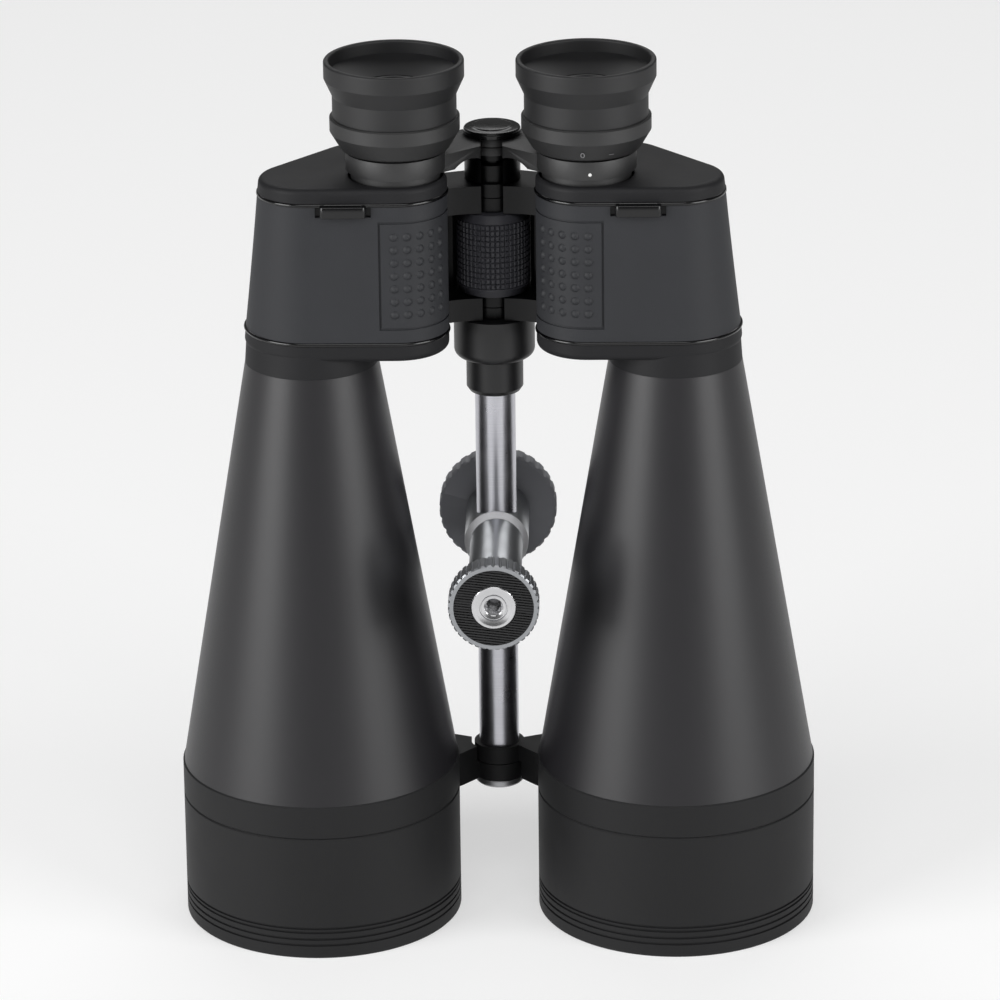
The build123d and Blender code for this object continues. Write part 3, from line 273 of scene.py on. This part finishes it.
# %% [markdown]
# ## Plastics
# The oculars, the hub, the strap lugs and the bridge cap are injection moulded in black, the lock knob in
# grey. The knob sits in shade between the barrels, so its grey is painted lighter than the plastic really is:
# painted light in place of the light that does not reach it. ABS out of an etched mould is evenly dull, out of
# a polished one it is glossy, and both show a very fine unevenness where the melt flowed. Only colour, gloss
# and grain differ between them.

# %% Moulded plastics
MELT_MM, MELT_BEND, MELT_SPREAD = 9, 0.6, 0.04  # size and swirl of the flow, and its part of the roughness


def plastic(name, colour, flow, roughness, grain_mm, depth_mm, ior=1.53):
    """Injection-moulded ABS from an etched or a polished mould."""
    material, tree, socket, where = surface(name, IOR=ior)
    melt = noise(tree, where, MELT_MM, 4.0, MELT_BEND)
    grain = noise(tree, where, grain_mm, 1.0)
    rough_range = (roughness - MELT_SPREAD, roughness + MELT_SPREAD)
    vary(tree, socket, melt, (colour, flow), melt, rough_range, grain, depth_mm)
    return material


ocular_abs = plastic("ocular_abs_etched", "#070708", "#0A0A0B", 0.58, 0.4, 0.008, ior=1.62)
hub_abs = plastic("hub_abs_satin", "#08080A", "#0B0B0D", 0.42, 0.5, 0.008)
# Painted light: the knob's grey is lighter than the real plastic, to make up for the shade between the barrels.
knob_abs = plastic("knob_abs_etched", "#8F9095", "#97989D", 0.55, 0.45, 0.02)
gloss_abs = plastic("gloss_abs_polished", "#0A0A0B", "#0D0D0E", 0.2, 1.2, 0.004, ior=1.45)
print("plastics", [m.name for m in (ocular_abs, hub_abs, knob_abs, gloss_abs)])

# %% [markdown]
# ## Bare metals
# The rod is steel, ground, polished and chrome plated; the tripod carrier and its foot are turned
# aluminium; the bush is nickel plated and the end cap is turned steel. A lathe or a grinder leaves fine
# rings round the axis. They are drawn by a noise that changes only with the place along the axis and the
# distance from it, so one function serves upright pieces and pieces that point at the camera: it is told
# which way the axis runs.

# %% Turned and plated metals
UPWARD, AWAY = Vector((0, 0, 1)), Vector((0, 1, 0))
SMEAR_MM, SMEAR_SHARE = 7, 0.3  # size of the smears, and how much of the roughness they change


def turned_metal(name, colour, dull, roughness, ring_mm, depth_mm, axis, centre):
    """Metal with the fine rings of a lathe round an axis through a point."""
    material, tree, socket, where = surface(name, Metallic=1.0)
    back = [-c for c in centre]
    local = add(tree, "VectorMath", {0: where, 1: back}, operation="ADD").outputs["Vector"]
    flat = [0.0 if a else 1.0 for a in axis]
    across = add(tree, "VectorMath", {0: local, 1: flat}, operation="MULTIPLY").outputs["Vector"]
    radius = add(tree, "VectorMath", {0: across}, operation="LENGTH").outputs["Value"]
    along = add(tree, "VectorMath", {0: local, 1: axis}, operation="DOT_PRODUCT").outputs["Value"]
    ring = add(tree, "Math", {0: radius, 1: along}, operation="ADD").outputs["Value"]
    pattern = {"W": ring, "Scale": per_metre(ring_mm), "Detail": 3.0}
    rings = add(tree, "TexNoise", pattern, noise_dimensions="1D").outputs["Fac"]
    smear = noise(tree, where, SMEAR_MM, 4.0)
    rough_range = (roughness * (1 - SMEAR_SHARE), roughness * (1 + SMEAR_SHARE))
    vary(tree, socket, rings, (colour, dull), smear, rough_range, rings, depth_mm)
    return material


rod_low, rod_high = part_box("rod")
hinge_line = ((rod_low.x + rod_high.x) / 2, (rod_low.y + rod_high.y) / 2, 0.0)
foot_low, foot_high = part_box("foot")
carrier_line = ((foot_low.x + foot_high.x) / 2, 0.0, (foot_low.z + foot_high.z) / 2)
upright, lying = (UPWARD, hinge_line), (AWAY, carrier_line)
chrome = turned_metal("rod_chrome_polished", "#C9C9CE", "#B9B9C0", 0.3, 0.5, 0.0008, *upright)
bush_nickel = turned_metal("bush_nickel_plated", "#D5D5D6", "#C4C4C6", 0.2, 0.35, 0.001, *lying)
carrier_aluminium = turned_metal("carrier_aluminium_turned", "#A3A5A8", "#97999C", 0.33, 0.4, 0.0015, *lying)
cap_steel = turned_metal("cap_steel_turned", "#C0C0C2", "#AEAEB1", 0.48, 0.4, 0.001, *upright)
spring_steel = turned_metal("spring_steel_ground", "#9C9CA0", "#8C8C90", 0.3, 0.3, 0.001, *upright)
metals = (chrome, bush_nickel, carrier_aluminium, cap_steel, spring_steel)
print("metals", [m.name for m in metals])

# %% [markdown]
# ## Glass
# Lenses and prisms are polished crown glass. The outside faces of the eye lens and the objective carry a thin
# anti-reflection coating that leaves only a weak purple or green reflection. Through the eyepiece the barrel
# is dark, so the glass looks nearly black with a coloured gleam. A transmissive shader shows that by itself.

# %% Glass
CROWN_IOR = 1.517
SPECK_MM = 0.8
SPECK_FROM, SPECK_FULL = 0.45, 0.9  # of the noise, where dust begins and where it is thickest


def glass(name, tint, roughness, coat_tint, coat):
    """Polished optical glass, with or without a tinted coating and a little dust."""
    material, tree, socket, where = surface(
        name,
        Base_Color=srgb(tint),
        IOR=CROWN_IOR,
        Transmission_Weight=1.0,
        Coat_Weight=coat,
        Coat_Tint=srgb(coat_tint),
    )
    dust = noise(tree, where, SPECK_MM, 3.0)
    spread = {"Value": dust, "From Min": SPECK_FROM, "From Max": SPECK_FULL, "To Max": roughness}
    rough = add(tree, "MapRange", spread).outputs["Result"]
    tree.links.new(rough, socket["Roughness"])
    return material


coated_glass = glass("lens_glass_coated", "#B9B4E6", 0.06, "#7A5CC8", 0.6)
prism_glass = glass("prism_glass_polished", "#E4EFEA", 0.05, "#FFFFFF", 0.0)
print("glasses", coated_glass.name, prism_glass.name)

# %% [markdown]
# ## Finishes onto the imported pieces
# Left and right pieces share a finish, so the table below names each kind of piece once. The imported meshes
# come with plain placeholder materials, which are cleared first.

# %% Assign the finishes
FINISHES = {
    "hood": hood_skin,
    "cell_ring": hood_skin,
    "objective_retainer": bridge_enamel,
    "objective_front_lens": coated_glass,
    "objective_rear_lens": prism_glass,
    "barrel": barrel_enamel,
    "bottom_cover": cover_skin,
    "prism_housing": casting_enamel,
    "armour": armour_skin,
    "prism_shelf": carrier_aluminium,
    "upper_prism": prism_glass,
    "lower_prism": prism_glass,
    "prism_clips": spring_steel,
    "top_cover": cover_skin,
    "strap_lug": gloss_abs,
    "bridge_arm": bridge_enamel,
    "eyepiece_tube": bridge_enamel,
    "ocular": ocular_abs,
    "eyecup": eyecup_skin,
    "lens_cell": bridge_enamel,
    "eye_lens": coated_glass,
    "field_lens": prism_glass,
    "rod": chrome,
    "end_cap": cap_steel,
    "hub": hub_abs,
    "hinge_tube": casting_enamel,
    "shaft_sleeve": casting_enamel,
    "focus_wheel": wheel_skin,
    "focus_shaft": casting_enamel,
    "focus_pin": spring_steel,
    "bridge_cap": gloss_abs,
    "carrier_post": carrier_aluminium,
    "foot": carrier_aluminium,
    "foot_pad": pad_skin,
    "thread_bush": bush_nickel,
    "clamp_shoe": spring_steel,
    "lock_knob": knob_abs,
}
for name, node in nodes.items():
    kind = name.removeprefix("left_").removeprefix("right_")
    node.data.materials.clear()
    node.data.materials.append(FINISHES[kind])
print("finished", len(nodes), "nodes with", len(set(FINISHES.values())), "materials")

# %% [markdown]
# ## Tools for modelled pieces
# A modelled piece takes the place of an imported one, or adds to it. It starts as a bmesh in millimetres,
# because the sizes on this object are millimetres, and one function turns it into an object: it merges what
# a spin left double, makes the faces point outwards, brings it to metres, marks the edges that stay crisp,
# and hangs it on the body that it moves with.

# %% Functions for pieces
WELD = 0.002  # mm, points closer than this become one
bodies = frame["record"]["behaviour"]["bodies"]
body_of = {node: body for body, group in bodies.items() for node in group}


def finish_piece(shape, name, node, material, replaces=True, crisp=35):
    """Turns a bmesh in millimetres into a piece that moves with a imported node, or stands for it."""
    bmesh.ops.remove_doubles(shape, verts=shape.verts, dist=WELD)
    bmesh.ops.recalc_face_normals(shape, faces=shape.faces)
    bmesh.ops.scale(shape, vec=(MM, MM, MM), verts=shape.verts)
    mesh = bpy.data.meshes.new(name)
    shape.to_mesh(mesh)
    shape.free()
    mesh.shade_smooth()
    mesh.set_sharp_from_angle(angle=math.radians(crisp))
    mesh.materials.append(material)
    piece = bpy.data.objects.new(name, mesh)
    bpy.context.scene.collection.objects.link(piece)
    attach(piece, body_of[node])
    if replaces:
        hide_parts(node)
    print(name, "has", len(mesh.polygons), "faces")
    return piece


def lathe(shape, outline, centre, axis, steps, closed=True):
    """Spins an outline of (radius, place along the axis) in millimetres once round an axis."""
    out = Vector((1.0, 0.0, 0.0))
    rim = [shape.verts.new(centre + out * radius + axis * place) for radius, place in outline]
    pairs = list(zip(rim, rim[1:])) + ([(rim[-1], rim[0])] if closed else [])
    line = [shape.edges.new(pair) for pair in pairs]
    parts, full_turn = rim + line, 2 * math.pi
    bmesh.ops.spin(shape, geom=parts, cent=centre, axis=axis, angle=full_turn, steps=steps, use_merge=True)


hinge_mm = Vector((hinge_line[0], hinge_line[1], 0)) / MM
carrier_mm = Vector((carrier_line[0], 0, carrier_line[2])) / MM
print("hinge line at", list(hinge_mm), "carrier line at", list(carrier_mm))

# %% [markdown]
# ## Focus wheel
# The wheel is a metal drum with a hard rubber sleeve, moulded with rows of small square pads that give the
# finger its grip. A displacement could draw the pads, but there are few enough to model: the outline has
# one point for each row, the spin has one step for each column, and an inset on every face of the drum lifts
# a pad out of it and leaves the grooves between them. The rims stay smooth and carry the soft highlight.

# %% Knurled focus wheel
WHEEL_COLUMNS, WHEEL_ROWS = 46, 12
WHEEL_RIM = 3.4  # mm, height of a rim
WHEEL_BORE = 7.05  # mm, radius
WHEEL_EDGE = ((2.0, 0.0), (1.2, 0.3), (0.25, 2.7), (0.1, 3.0), (0.25, 3.25))  # mm in from the radius, mm up
PAD_GROOVE, PAD_RISE = 0.34, 0.45  # mm, half of a groove and the height of a pad
PAD_BELOW = 0.1  # mm, the pads stay inside the rims
DRUM_NEAR = 0.1  # mm, faces this close to the drum's radius belong to it

wheel_low, wheel_high = (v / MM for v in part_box("focus_wheel"))
wheel_r = (wheel_high.x - wheel_low.x) / 2
drum_r = wheel_r - PAD_RISE - PAD_BELOW
wheel_foot, wheel_top = wheel_low.z, wheel_high.z
rim = [(WHEEL_BORE, 0.0)] + [(wheel_r - inward, up) for inward, up in WHEEL_EDGE] + [(drum_r, WHEEL_RIM)]
row = (wheel_top - wheel_foot - 2 * WHEEL_RIM) / WHEEL_ROWS
rows = [(drum_r, wheel_foot + WHEEL_RIM + row * i) for i in range(1, WHEEL_ROWS)]
outline = [(r, wheel_foot + z) for r, z in rim] + rows + [(r, wheel_top - z) for r, z in reversed(rim)]
shape = bmesh.new()
lathe(shape, outline, hinge_mm, UPWARD, WHEEL_COLUMNS)
drum = []
for face in shape.faces:
    middle = face.calc_center_median()
    on_drum = abs((middle - hinge_mm).xy.length - drum_r) < DRUM_NEAR
    if on_drum and wheel_foot + WHEEL_RIM < middle.z < wheel_top - WHEEL_RIM:
        drum.append(face)
bmesh.ops.recalc_face_normals(shape, faces=shape.faces)
bmesh.ops.inset_individual(shape, faces=drum, thickness=PAD_GROOVE, depth=PAD_RISE, use_even_offset=True)
print(len(drum), "pads, one row every", round(row, 2), "mm")
finish_piece(shape, "knurled_focus_wheel", "focus_wheel", wheel_skin, crisp=30)

# %% [markdown]
# ## Curved edges behind the wheel
# A wall of the casting joins the two hinge lugs of each half behind the wheel, and its inner edge is cast
# round the wheel, so that no light comes through beside it. A narrow upright face is spun a short way round
# the hinge line.

# %% Cast edges round the wheel
EDGE_GAP, EDGE_WALL, EDGE_OVER = 0.45, 1.6, 1.0  # mm, off the wheel, thick, and past its ends
EDGE_FROM, EDGE_ROUND = math.radians(14), math.radians(24)
EDGE_STEPS = 8
near, far = wheel_r + EDGE_GAP, wheel_r + EDGE_GAP + EDGE_WALL
foot, top = wheel_foot - EDGE_OVER, wheel_top + EDGE_OVER
corners = [(near, foot), (far, foot), (far, top), (near, top)]
for side, first in (("left_", math.pi - EDGE_FROM - EDGE_ROUND), ("right_", EDGE_FROM)):
    shape = bmesh.new()
    out = Vector((math.cos(first), math.sin(first), 0))
    face = shape.faces.new([shape.verts.new(hinge_mm + out * r + UPWARD * z) for r, z in corners])
    parts = [face, *face.edges, *face.verts]
    bmesh.ops.spin(shape, geom=parts, cent=hinge_mm, axis=UPWARD, angle=EDGE_ROUND, steps=EDGE_STEPS)
    bmesh.ops.holes_fill(shape, edges=shape.edges)
    name, node = side + "web_edge", side + "prism_housing"
    finish_piece(shape, name, node, casting_enamel, replaces=False)

# %% [markdown]
# ## Ribbed pad of the tripod foot
# A rubber washer in the foot keeps the tripod plate from turning, so its face is moulded with straight ribs.
# A ring is spun first. Parallel planes then cut its front face into strips, and every second strip is
# pushed out.

# %% Ribbed foot pad
RIB_PITCH, RIB_HEIGHT = 0.95, 0.3  # mm
RIB_LEAN = math.radians(7)  # the pad was glued in a little turned
ROUND_STEPS = 72  # of a spin that has to look round
FRONT_NEAR = 0.01  # mm, faces this close to the front belong to it
ON_PLANE = 0.0001  # mm, points this close to a cut lie on it
pad_low, pad_high = (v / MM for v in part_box("foot_pad"))
pad_r = (pad_high.x - pad_low.x) / 2
bush_low, bush_high = (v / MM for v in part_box("thread_bush"))
bush_r = (bush_high.x - bush_low.x) / 2
floor_y = pad_low.y + RIB_HEIGHT
shape = bmesh.new()
ring = [(bush_r, pad_high.y), (bush_r, floor_y), (pad_r, floor_y), (pad_r, pad_high.y)]
lathe(shape, ring, carrier_mm, AWAY, ROUND_STEPS)
face_y = floor_y + FRONT_NEAR
across = Vector((math.sin(RIB_LEAN), 0, math.cos(RIB_LEAN)))
count = int(2 * pad_r / RIB_PITCH) + 1
first = carrier_mm.dot(across) - RIB_PITCH * count / 2
for cut in range(2 * count):
    front = [f for f in shape.faces if f.calc_center_median().y < face_y]
    parts = front + list({e for f in front for e in f.edges}) + list({v for f in front for v in f.verts})
    level = across * (first + RIB_PITCH / 2 * cut)
    bmesh.ops.bisect_plane(shape, geom=parts, dist=ON_PLANE, plane_co=level, plane_no=across)
ribs = []
for face in shape.faces:
    middle = face.calc_center_median()
    strip = math.floor((middle.dot(across) - first) / (RIB_PITCH / 2))
    if middle.y < face_y and strip % 2 == 0:
        ribs.append(face)
raised = bmesh.ops.extrude_face_region(shape, geom=ribs)["geom"]
lifted = [v for v in raised if isinstance(v, bmesh.types.BMVert)]
bmesh.ops.translate(shape, verts=lifted, vec=(0, -RIB_HEIGHT, 0))
print(count, "ribs,", RIB_PITCH, "mm apart")
finish_piece(shape, "ribbed_foot_pad", "foot_pad", pad_skin)

# %% [markdown]
# ## Threaded bush
# The bush takes the tripod screw, a quarter-inch thread of 20 turns to the inch, cut on a lathe in plated
# brass. Its body is spun from an outline with a dished face and a fine groove. The thread is a small ridge
# swept along a screw line: the same spin, with a short step along the axis after every step round it.

# %% Threaded bush
THREAD_PITCH = 25.4 / 20  # mm
THREAD_ROOT, THREAD_CREST = 3.05, 2.6  # mm, radii
THREAD_DEPTH, THREAD_TURNS, THREAD_STEPS = 10.0, 6, 28  # mm, turns, steps in a turn
THREAD_START, THREAD_SINK = 1.0, 0.02  # mm behind the mouth, and into the wall
MOUTH_BREAK = 0.25  # mm, the broken edge of the hole
DISH_R, DISH = 4.9, 0.8  # mm
# Points of two outlines: mm in from the radius of the dish and behind its mouth, and the same for the bush.
GROOVE = ((0.6, -0.25), (0.45, 0.3), (0.15, 0.3), (0.0, -0.4))
OUTER_RING = ((1.5, 0.12), (1.1, 0.0), (0.45, 0.0), (0.0, 0.45))
face, back = bush_low.y, bush_high.y
mouth = face + DISH
outline = [(0.0, mouth + THREAD_DEPTH), (THREAD_ROOT, mouth + THREAD_DEPTH)]
outline += [(THREAD_ROOT, mouth + MOUTH_BREAK), (THREAD_ROOT + MOUTH_BREAK, mouth)]
outline += [(DISH_R - inward, mouth + behind) for inward, behind in GROOVE]
outline += [(bush_r - inward, face + behind) for inward, behind in OUTER_RING]
outline += [(bush_r, back), (0.0, back)]
shape = bmesh.new()
lathe(shape, outline, carrier_mm, AWAY, ROUND_STEPS, closed=False)
start = carrier_mm + AWAY * (mouth + THREAD_START)
root = THREAD_ROOT + THREAD_SINK
ridge = [(root, -0.5), (THREAD_CREST, 0.0), (root, 0.5)]  # radius in mm, place in pitches
corners = [shape.verts.new(start + Vector((r, y * THREAD_PITCH, 0))) for r, y in ridge]
section = shape.faces.new(corners)
bmesh.ops.spin(
    shape,
    geom=corners + section.edges[:] + [section],
    cent=carrier_mm,
    axis=AWAY,
    dvec=AWAY * (THREAD_PITCH / THREAD_STEPS),
    angle=2 * math.pi * THREAD_TURNS,
    steps=THREAD_STEPS * THREAD_TURNS,
)
print("thread of", round(THREAD_PITCH, 2), "mm pitch,", THREAD_TURNS, "turns")
finish_piece(shape, "tripod_bush_threaded", "thread_bush", bush_nickel, crisp=25)

# %% [markdown]
# ## Softened edges
# No real edge is perfectly sharp: a casting has draft and a layer of enamel, and a moulding has rounded
# corners. That is what gives a black object its thin bright outlines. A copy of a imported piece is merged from
# its loose triangles, freed of the edges inside its flat faces, and bevelled along its sharp edges.

# %% Copies with rounded edges
FLAT, SHARP = math.radians(0.4), math.radians(40)  # angles between two faces
SOFT_PIECES = {  # radius of the rounding in mm, and slot
    "left_strap_lug": (0.35, "gloss_plastic"),
    "left_bridge_arm": (0.4, "satin_paint"),
    "right_strap_lug": (0.35, "gloss_plastic"),
    "right_bridge_arm": (0.4, "satin_paint"),
    "bridge_cap": (0.4, "gloss_plastic"),
    "end_cap": (0.3, "dark_metal"),
}


def merged_copy(node):
    """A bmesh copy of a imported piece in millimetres, without the edges inside its flat faces."""
    shape = bmesh.new()
    shape.from_mesh(nodes[node].data)
    bmesh.ops.scale(shape, vec=(1 / MM, 1 / MM, 1 / MM), verts=shape.verts)
    bmesh.ops.remove_doubles(shape, verts=shape.verts, dist=WELD)
    bmesh.ops.dissolve_limit(shape, angle_limit=FLAT, verts=shape.verts, edges=shape.edges)
    return shape


def round_edges(shape, edge_mm):
    """Rounds the edges of a bmesh where two faces meet at a sharp angle."""
    edges = [e for e in shape.edges if len(e.link_faces) == 2 and e.calc_face_angle() > SHARP]
    bmesh.ops.bevel(
        shape,
        geom=edges,
        affect="EDGES",
        offset=edge_mm,
        offset_type="OFFSET",
        segments=2,
        profile=0.5,
        material=-1,
        clamp_overlap=True,
    )


def softened(node, edge_mm):
    """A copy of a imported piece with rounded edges, which stands for it."""
    shape = merged_copy(node)
    round_edges(shape, edge_mm)
    finish = nodes[node].data.materials[0]
    return finish_piece(shape, node + "_softened", node, finish, crisp=50)


for node, (edge_mm, slot) in SOFT_PIECES.items():
    softened(node, edge_mm)

# %% [markdown]
# ## Bright shoulder of the tripod carrier
# The carrier post is turned smooth, but its shoulder was cut last, with a coarse tool, and left as cut. It
# scatters the light of both soft boxes, and its colour is painted paler than the rest of the post, a painted
# highlight, so it shows as a pale ring. The copy gets a second material on the sloping faces.

# %% Shoulder of the carrier post
POST_EDGE = 0.1  # mm
SLOPE_LEAST, SLOPE_MOST = 0.4, 0.95  # how far a sloping face looks forward, where 1 is straight
# Rougher and paler than the post's aluminium: the rough cut finish is real, the paleness is a painted
# highlight.
shoulder_aluminium = turned_metal("shoulder_aluminium_cut_painted_highlight", "#E6E6E8", "#DADADC", 0.8, 0.3, 0.002, *lying)
post = softened("carrier_post", POST_EDGE)
post.data.materials.append(shoulder_aluminium)
sloping = [face for face in post.data.polygons if SLOPE_LEAST < -face.normal.y < SLOPE_MOST]
for face in sloping:
    face.material_index = 1
print(len(sloping), "faces of the shoulder")

# %% [markdown]
# ## Dished back of the lock knob
# A thick plastic disc would sink in where it cools last, so the back of the knob is moulded with a dish and
# a raised middle. Four insets of the back face make the rim, the slope into the dish, the floor of the dish
# and the slope up to the middle.

# %% Lock knob
KNOB_RIM, KNOB_DISH, KNOB_SLOPE, KNOB_FLOOR = 2.4, 0.9, 0.8, 9.0  # mm
KNOB_INSETS = ((KNOB_RIM, 0.0), (KNOB_SLOPE, -KNOB_DISH), (KNOB_FLOOR, 0.0), (KNOB_SLOPE, KNOB_DISH))
LOOKS_BACK = 0.9  # of a normal along y
shape = merged_copy("lock_knob")
back = max((f for f in shape.faces if f.normal.y > LOOKS_BACK), key=lambda f: f.calc_area())
for inward, sink in KNOB_INSETS:
    bmesh.ops.inset_region(shape, faces=[back], thickness=inward, depth=sink, use_even_offset=True)
print("back of the knob", round(back.calc_area()), "mm2 in the middle")
finish_piece(shape, "lock_knob_dished", "lock_knob", knob_abs, crisp=25)

# %% [markdown]
# ## Seam beads
# Where a cover meets the rubber armour, the bare edge of the casting stands out as a narrow rounded bead, and
# the enamel on it is glossy from wear. The bead follows the outline of the cover: a level plane cuts a copy
# of the cover, the widest loop of the cut is kept, and it is extruded step by step round a half circle.

# %% Beads round the housing
BEAD_R, BEAD_PROUD = 0.75, 0.48  # mm
BEAD_STEPS = 8
BARE_EDGE = 0.8  # mm of the casting shows at a seam
CUT_OFF = 2.0  # mm from the seam to the cut


def loop_round(shape):
    """The points of the widest loop of a bmesh that holds only edges."""
    groups, seen = [], set()
    for vert in shape.verts:
        if vert in seen:
            continue
        group, front = set(), [vert]
        while front:
            found = front.pop()
            group.add(found)
            front += [e.other_vert(found) for e in found.link_edges if e.other_vert(found) not in group]
        seen |= group
        groups.append(group)
    return max(groups, key=lambda g: max(v.co.x for v in g) - min(v.co.x for v in g))


def seam_bead(side, cover, seam_z, cut_z):
    """A rounded bead along a cover's outline, at the height of the seam."""
    shape = merged_copy(side + cover)
    parts, level = shape.verts[:] + shape.edges[:] + shape.faces[:], UPWARD * cut_z
    cut = bmesh.ops.bisect_plane(shape, geom=parts, dist=ON_PLANE, plane_co=level, plane_no=UPWARD)
    line = {e for e in cut["geom_cut"] if isinstance(e, bmesh.types.BMEdge)}
    bmesh.ops.delete(shape, geom=shape.faces[:], context="FACES_ONLY")
    bmesh.ops.delete(shape, geom=[e for e in shape.edges if e not in line], context="EDGES")
    keep = loop_round(shape)
    bmesh.ops.delete(shape, geom=[v for v in shape.verts if v not in keep], context="VERTS")
    low = Vector(min(v.co[i] for v in keep) for i in range(3))
    high = Vector(max(v.co[i] for v in keep) for i in range(3))
    middle = (low + high) / 2
    bmesh.ops.translate(shape, verts=shape.verts, vec=UPWARD * (seam_z - cut_z))
    middle.z = seam_z
    about = Matrix.Translation(-middle)
    first = edges = shape.edges[:]
    out = rise = 0.0
    for step in range(BEAD_STEPS + 1):
        turn = math.pi * (step / BEAD_STEPS - 0.5)
        new_out = BEAD_PROUD - BEAD_R * (1 - math.cos(turn))
        new_rise = BEAD_R * math.sin(turn)
        if step:
            grown = bmesh.ops.extrude_edge_only(shape, edges=edges)["geom"]
            edges = [g for g in grown if isinstance(g, bmesh.types.BMEdge)]
        ring = list({v for e in edges for v in e.verts})
        wide = [1 + 2 * (new_out - out) / (high[i] - low[i]) for i in (0, 1)]
        bmesh.ops.scale(shape, vec=(*wide, 1), space=about, verts=ring)
        bmesh.ops.translate(shape, verts=ring, vec=UPWARD * (new_rise - rise))
        out, rise = new_out, new_rise
    bmesh.ops.bridge_loops(shape, edges=first + edges)
    name, node = side + cover + "_seam_bead", side + "prism_housing"
    finish_piece(shape, name, node, bead_enamel, replaces=False, crisp=60)


for side in ("left_", "right_"):
    armour_low, armour_high = (v.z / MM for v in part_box(side + "armour"))
    low_seam, top_seam = armour_low - BARE_EDGE / 2, armour_high + BARE_EDGE / 2
    seam_bead(side, "bottom_cover", low_seam, low_seam - CUT_OFF)
    seam_bead(side, "top_cover", top_seam, top_seam + CUT_OFF)

# %% [markdown]
# ## Marks of the dioptre ring
# The right ocular turns to suit the eye, so it is marked with a nought and a minus, and the ring under it
# with a white index dot. On the real one they are printed. Here each is a thin flat shape laid on the
# surface: text is made a mesh first, then moved so that its face looks straight out of the ocular's cone.

# %% Dioptre marks
MARKS = {"nought": ("0", -3.5), "minus": ("\u2013", 24.5)}  # sign and degrees from the front
MARK_SIZE, MARK_LIFT = 3.4, 0.02  # mm
MARK_CURVE = 4  # steps in each curve of a sign
TAPER_LOW_R, TAPER_H = 18.6, 5.8  # mm, the cone at the foot of the ocular
TAPER_DROP = 0.4  # mm, the marks stand this much under the middle of the cone
INDEX_R, INDEX_SIDES = 0.58, 16  # mm, and corners of the dot
INDEX_ROUND, INDEX_RING_R, INDEX_Z = 4.0, 16.9, 276.0  # degrees from the front, mm from the axis, mm up
INK_MM, INK_ROUGHNESS = 0.5, 0.5


def print_ink(name, full, thin):
    """Screen-printed ink that covers unevenly."""
    material, tree, socket, where = surface(name, Roughness=INK_ROUGHNESS)
    ink = noise(tree, where, INK_MM, 2.0)
    tint = add(tree, "Mix", {"Factor": ink, "A": srgb(full), "B": srgb(thin)}, data_type="RGBA")
    tree.links.new(tint.outputs["Result"], socket["Base Color"])
    return material


mark_ink = print_ink("mark_ink_grey", "#8E8E90", "#6A6A6C")
index_ink = print_ink("index_ink_white", "#E4E4E2", "#CACAC8")

ocular_low, ocular_high = (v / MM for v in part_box("right_ocular"))
ocular_axis = (ocular_low + ocular_high) / 2
ocular_r = (ocular_high.x - ocular_low.x) / 2
lean = math.atan2(ocular_r - TAPER_LOW_R, TAPER_H)


def lay_on(degrees_round, radius, height, lean):
    """A frame on a turned piece of the right ocular: x along the surface, z straight out of it."""
    turn = math.radians(degrees_round)
    along = Vector((math.cos(turn), math.sin(turn), 0))
    out = Vector((math.sin(turn) * math.cos(lean), -math.cos(turn) * math.cos(lean), -math.sin(lean)))
    place = Vector((ocular_axis.x, ocular_axis.y, height)) + Vector((out.x, out.y, 0)).normalized() * radius
    axes = Matrix((along, out.cross(along), out)).transposed().to_4x4()
    return Matrix.Translation(place + out * MARK_LIFT) @ axes


for name, (sign, degrees_round) in MARKS.items():
    text_data = bpy.data.curves.new(name, "FONT")
    text_data.body = sign
    text_data.align_x, text_data.align_y = "CENTER", "CENTER"
    text_data.size = MARK_SIZE
    text_data.extrude = MARK_LIFT
    text_data.resolution_u = MARK_CURVE
    stencil = bpy.data.objects.new(name, text_data)
    shape = bmesh.new()
    shape.from_mesh(stencil.to_mesh())
    bpy.data.objects.remove(stencil)
    mark_z = ocular_low.z - TAPER_DROP + TAPER_H / 2
    spot = lay_on(degrees_round, (TAPER_LOW_R + ocular_r) / 2, mark_z, lean)
    bmesh.ops.transform(shape, matrix=spot, verts=shape.verts)
    finish_piece(shape, "dioptre_mark_" + name, "right_ocular", mark_ink, replaces=False)

shape = bmesh.new()
bmesh.ops.create_cone(
    shape,
    cap_ends=True,
    segments=INDEX_SIDES,
    radius1=INDEX_R,
    radius2=INDEX_R,
    depth=3 * MARK_LIFT,
    matrix=lay_on(INDEX_ROUND, INDEX_RING_R, INDEX_Z, 0.0),
)
finish_piece(shape, "dioptre_index_dot", "right_bridge_arm", index_ink, replaces=False)
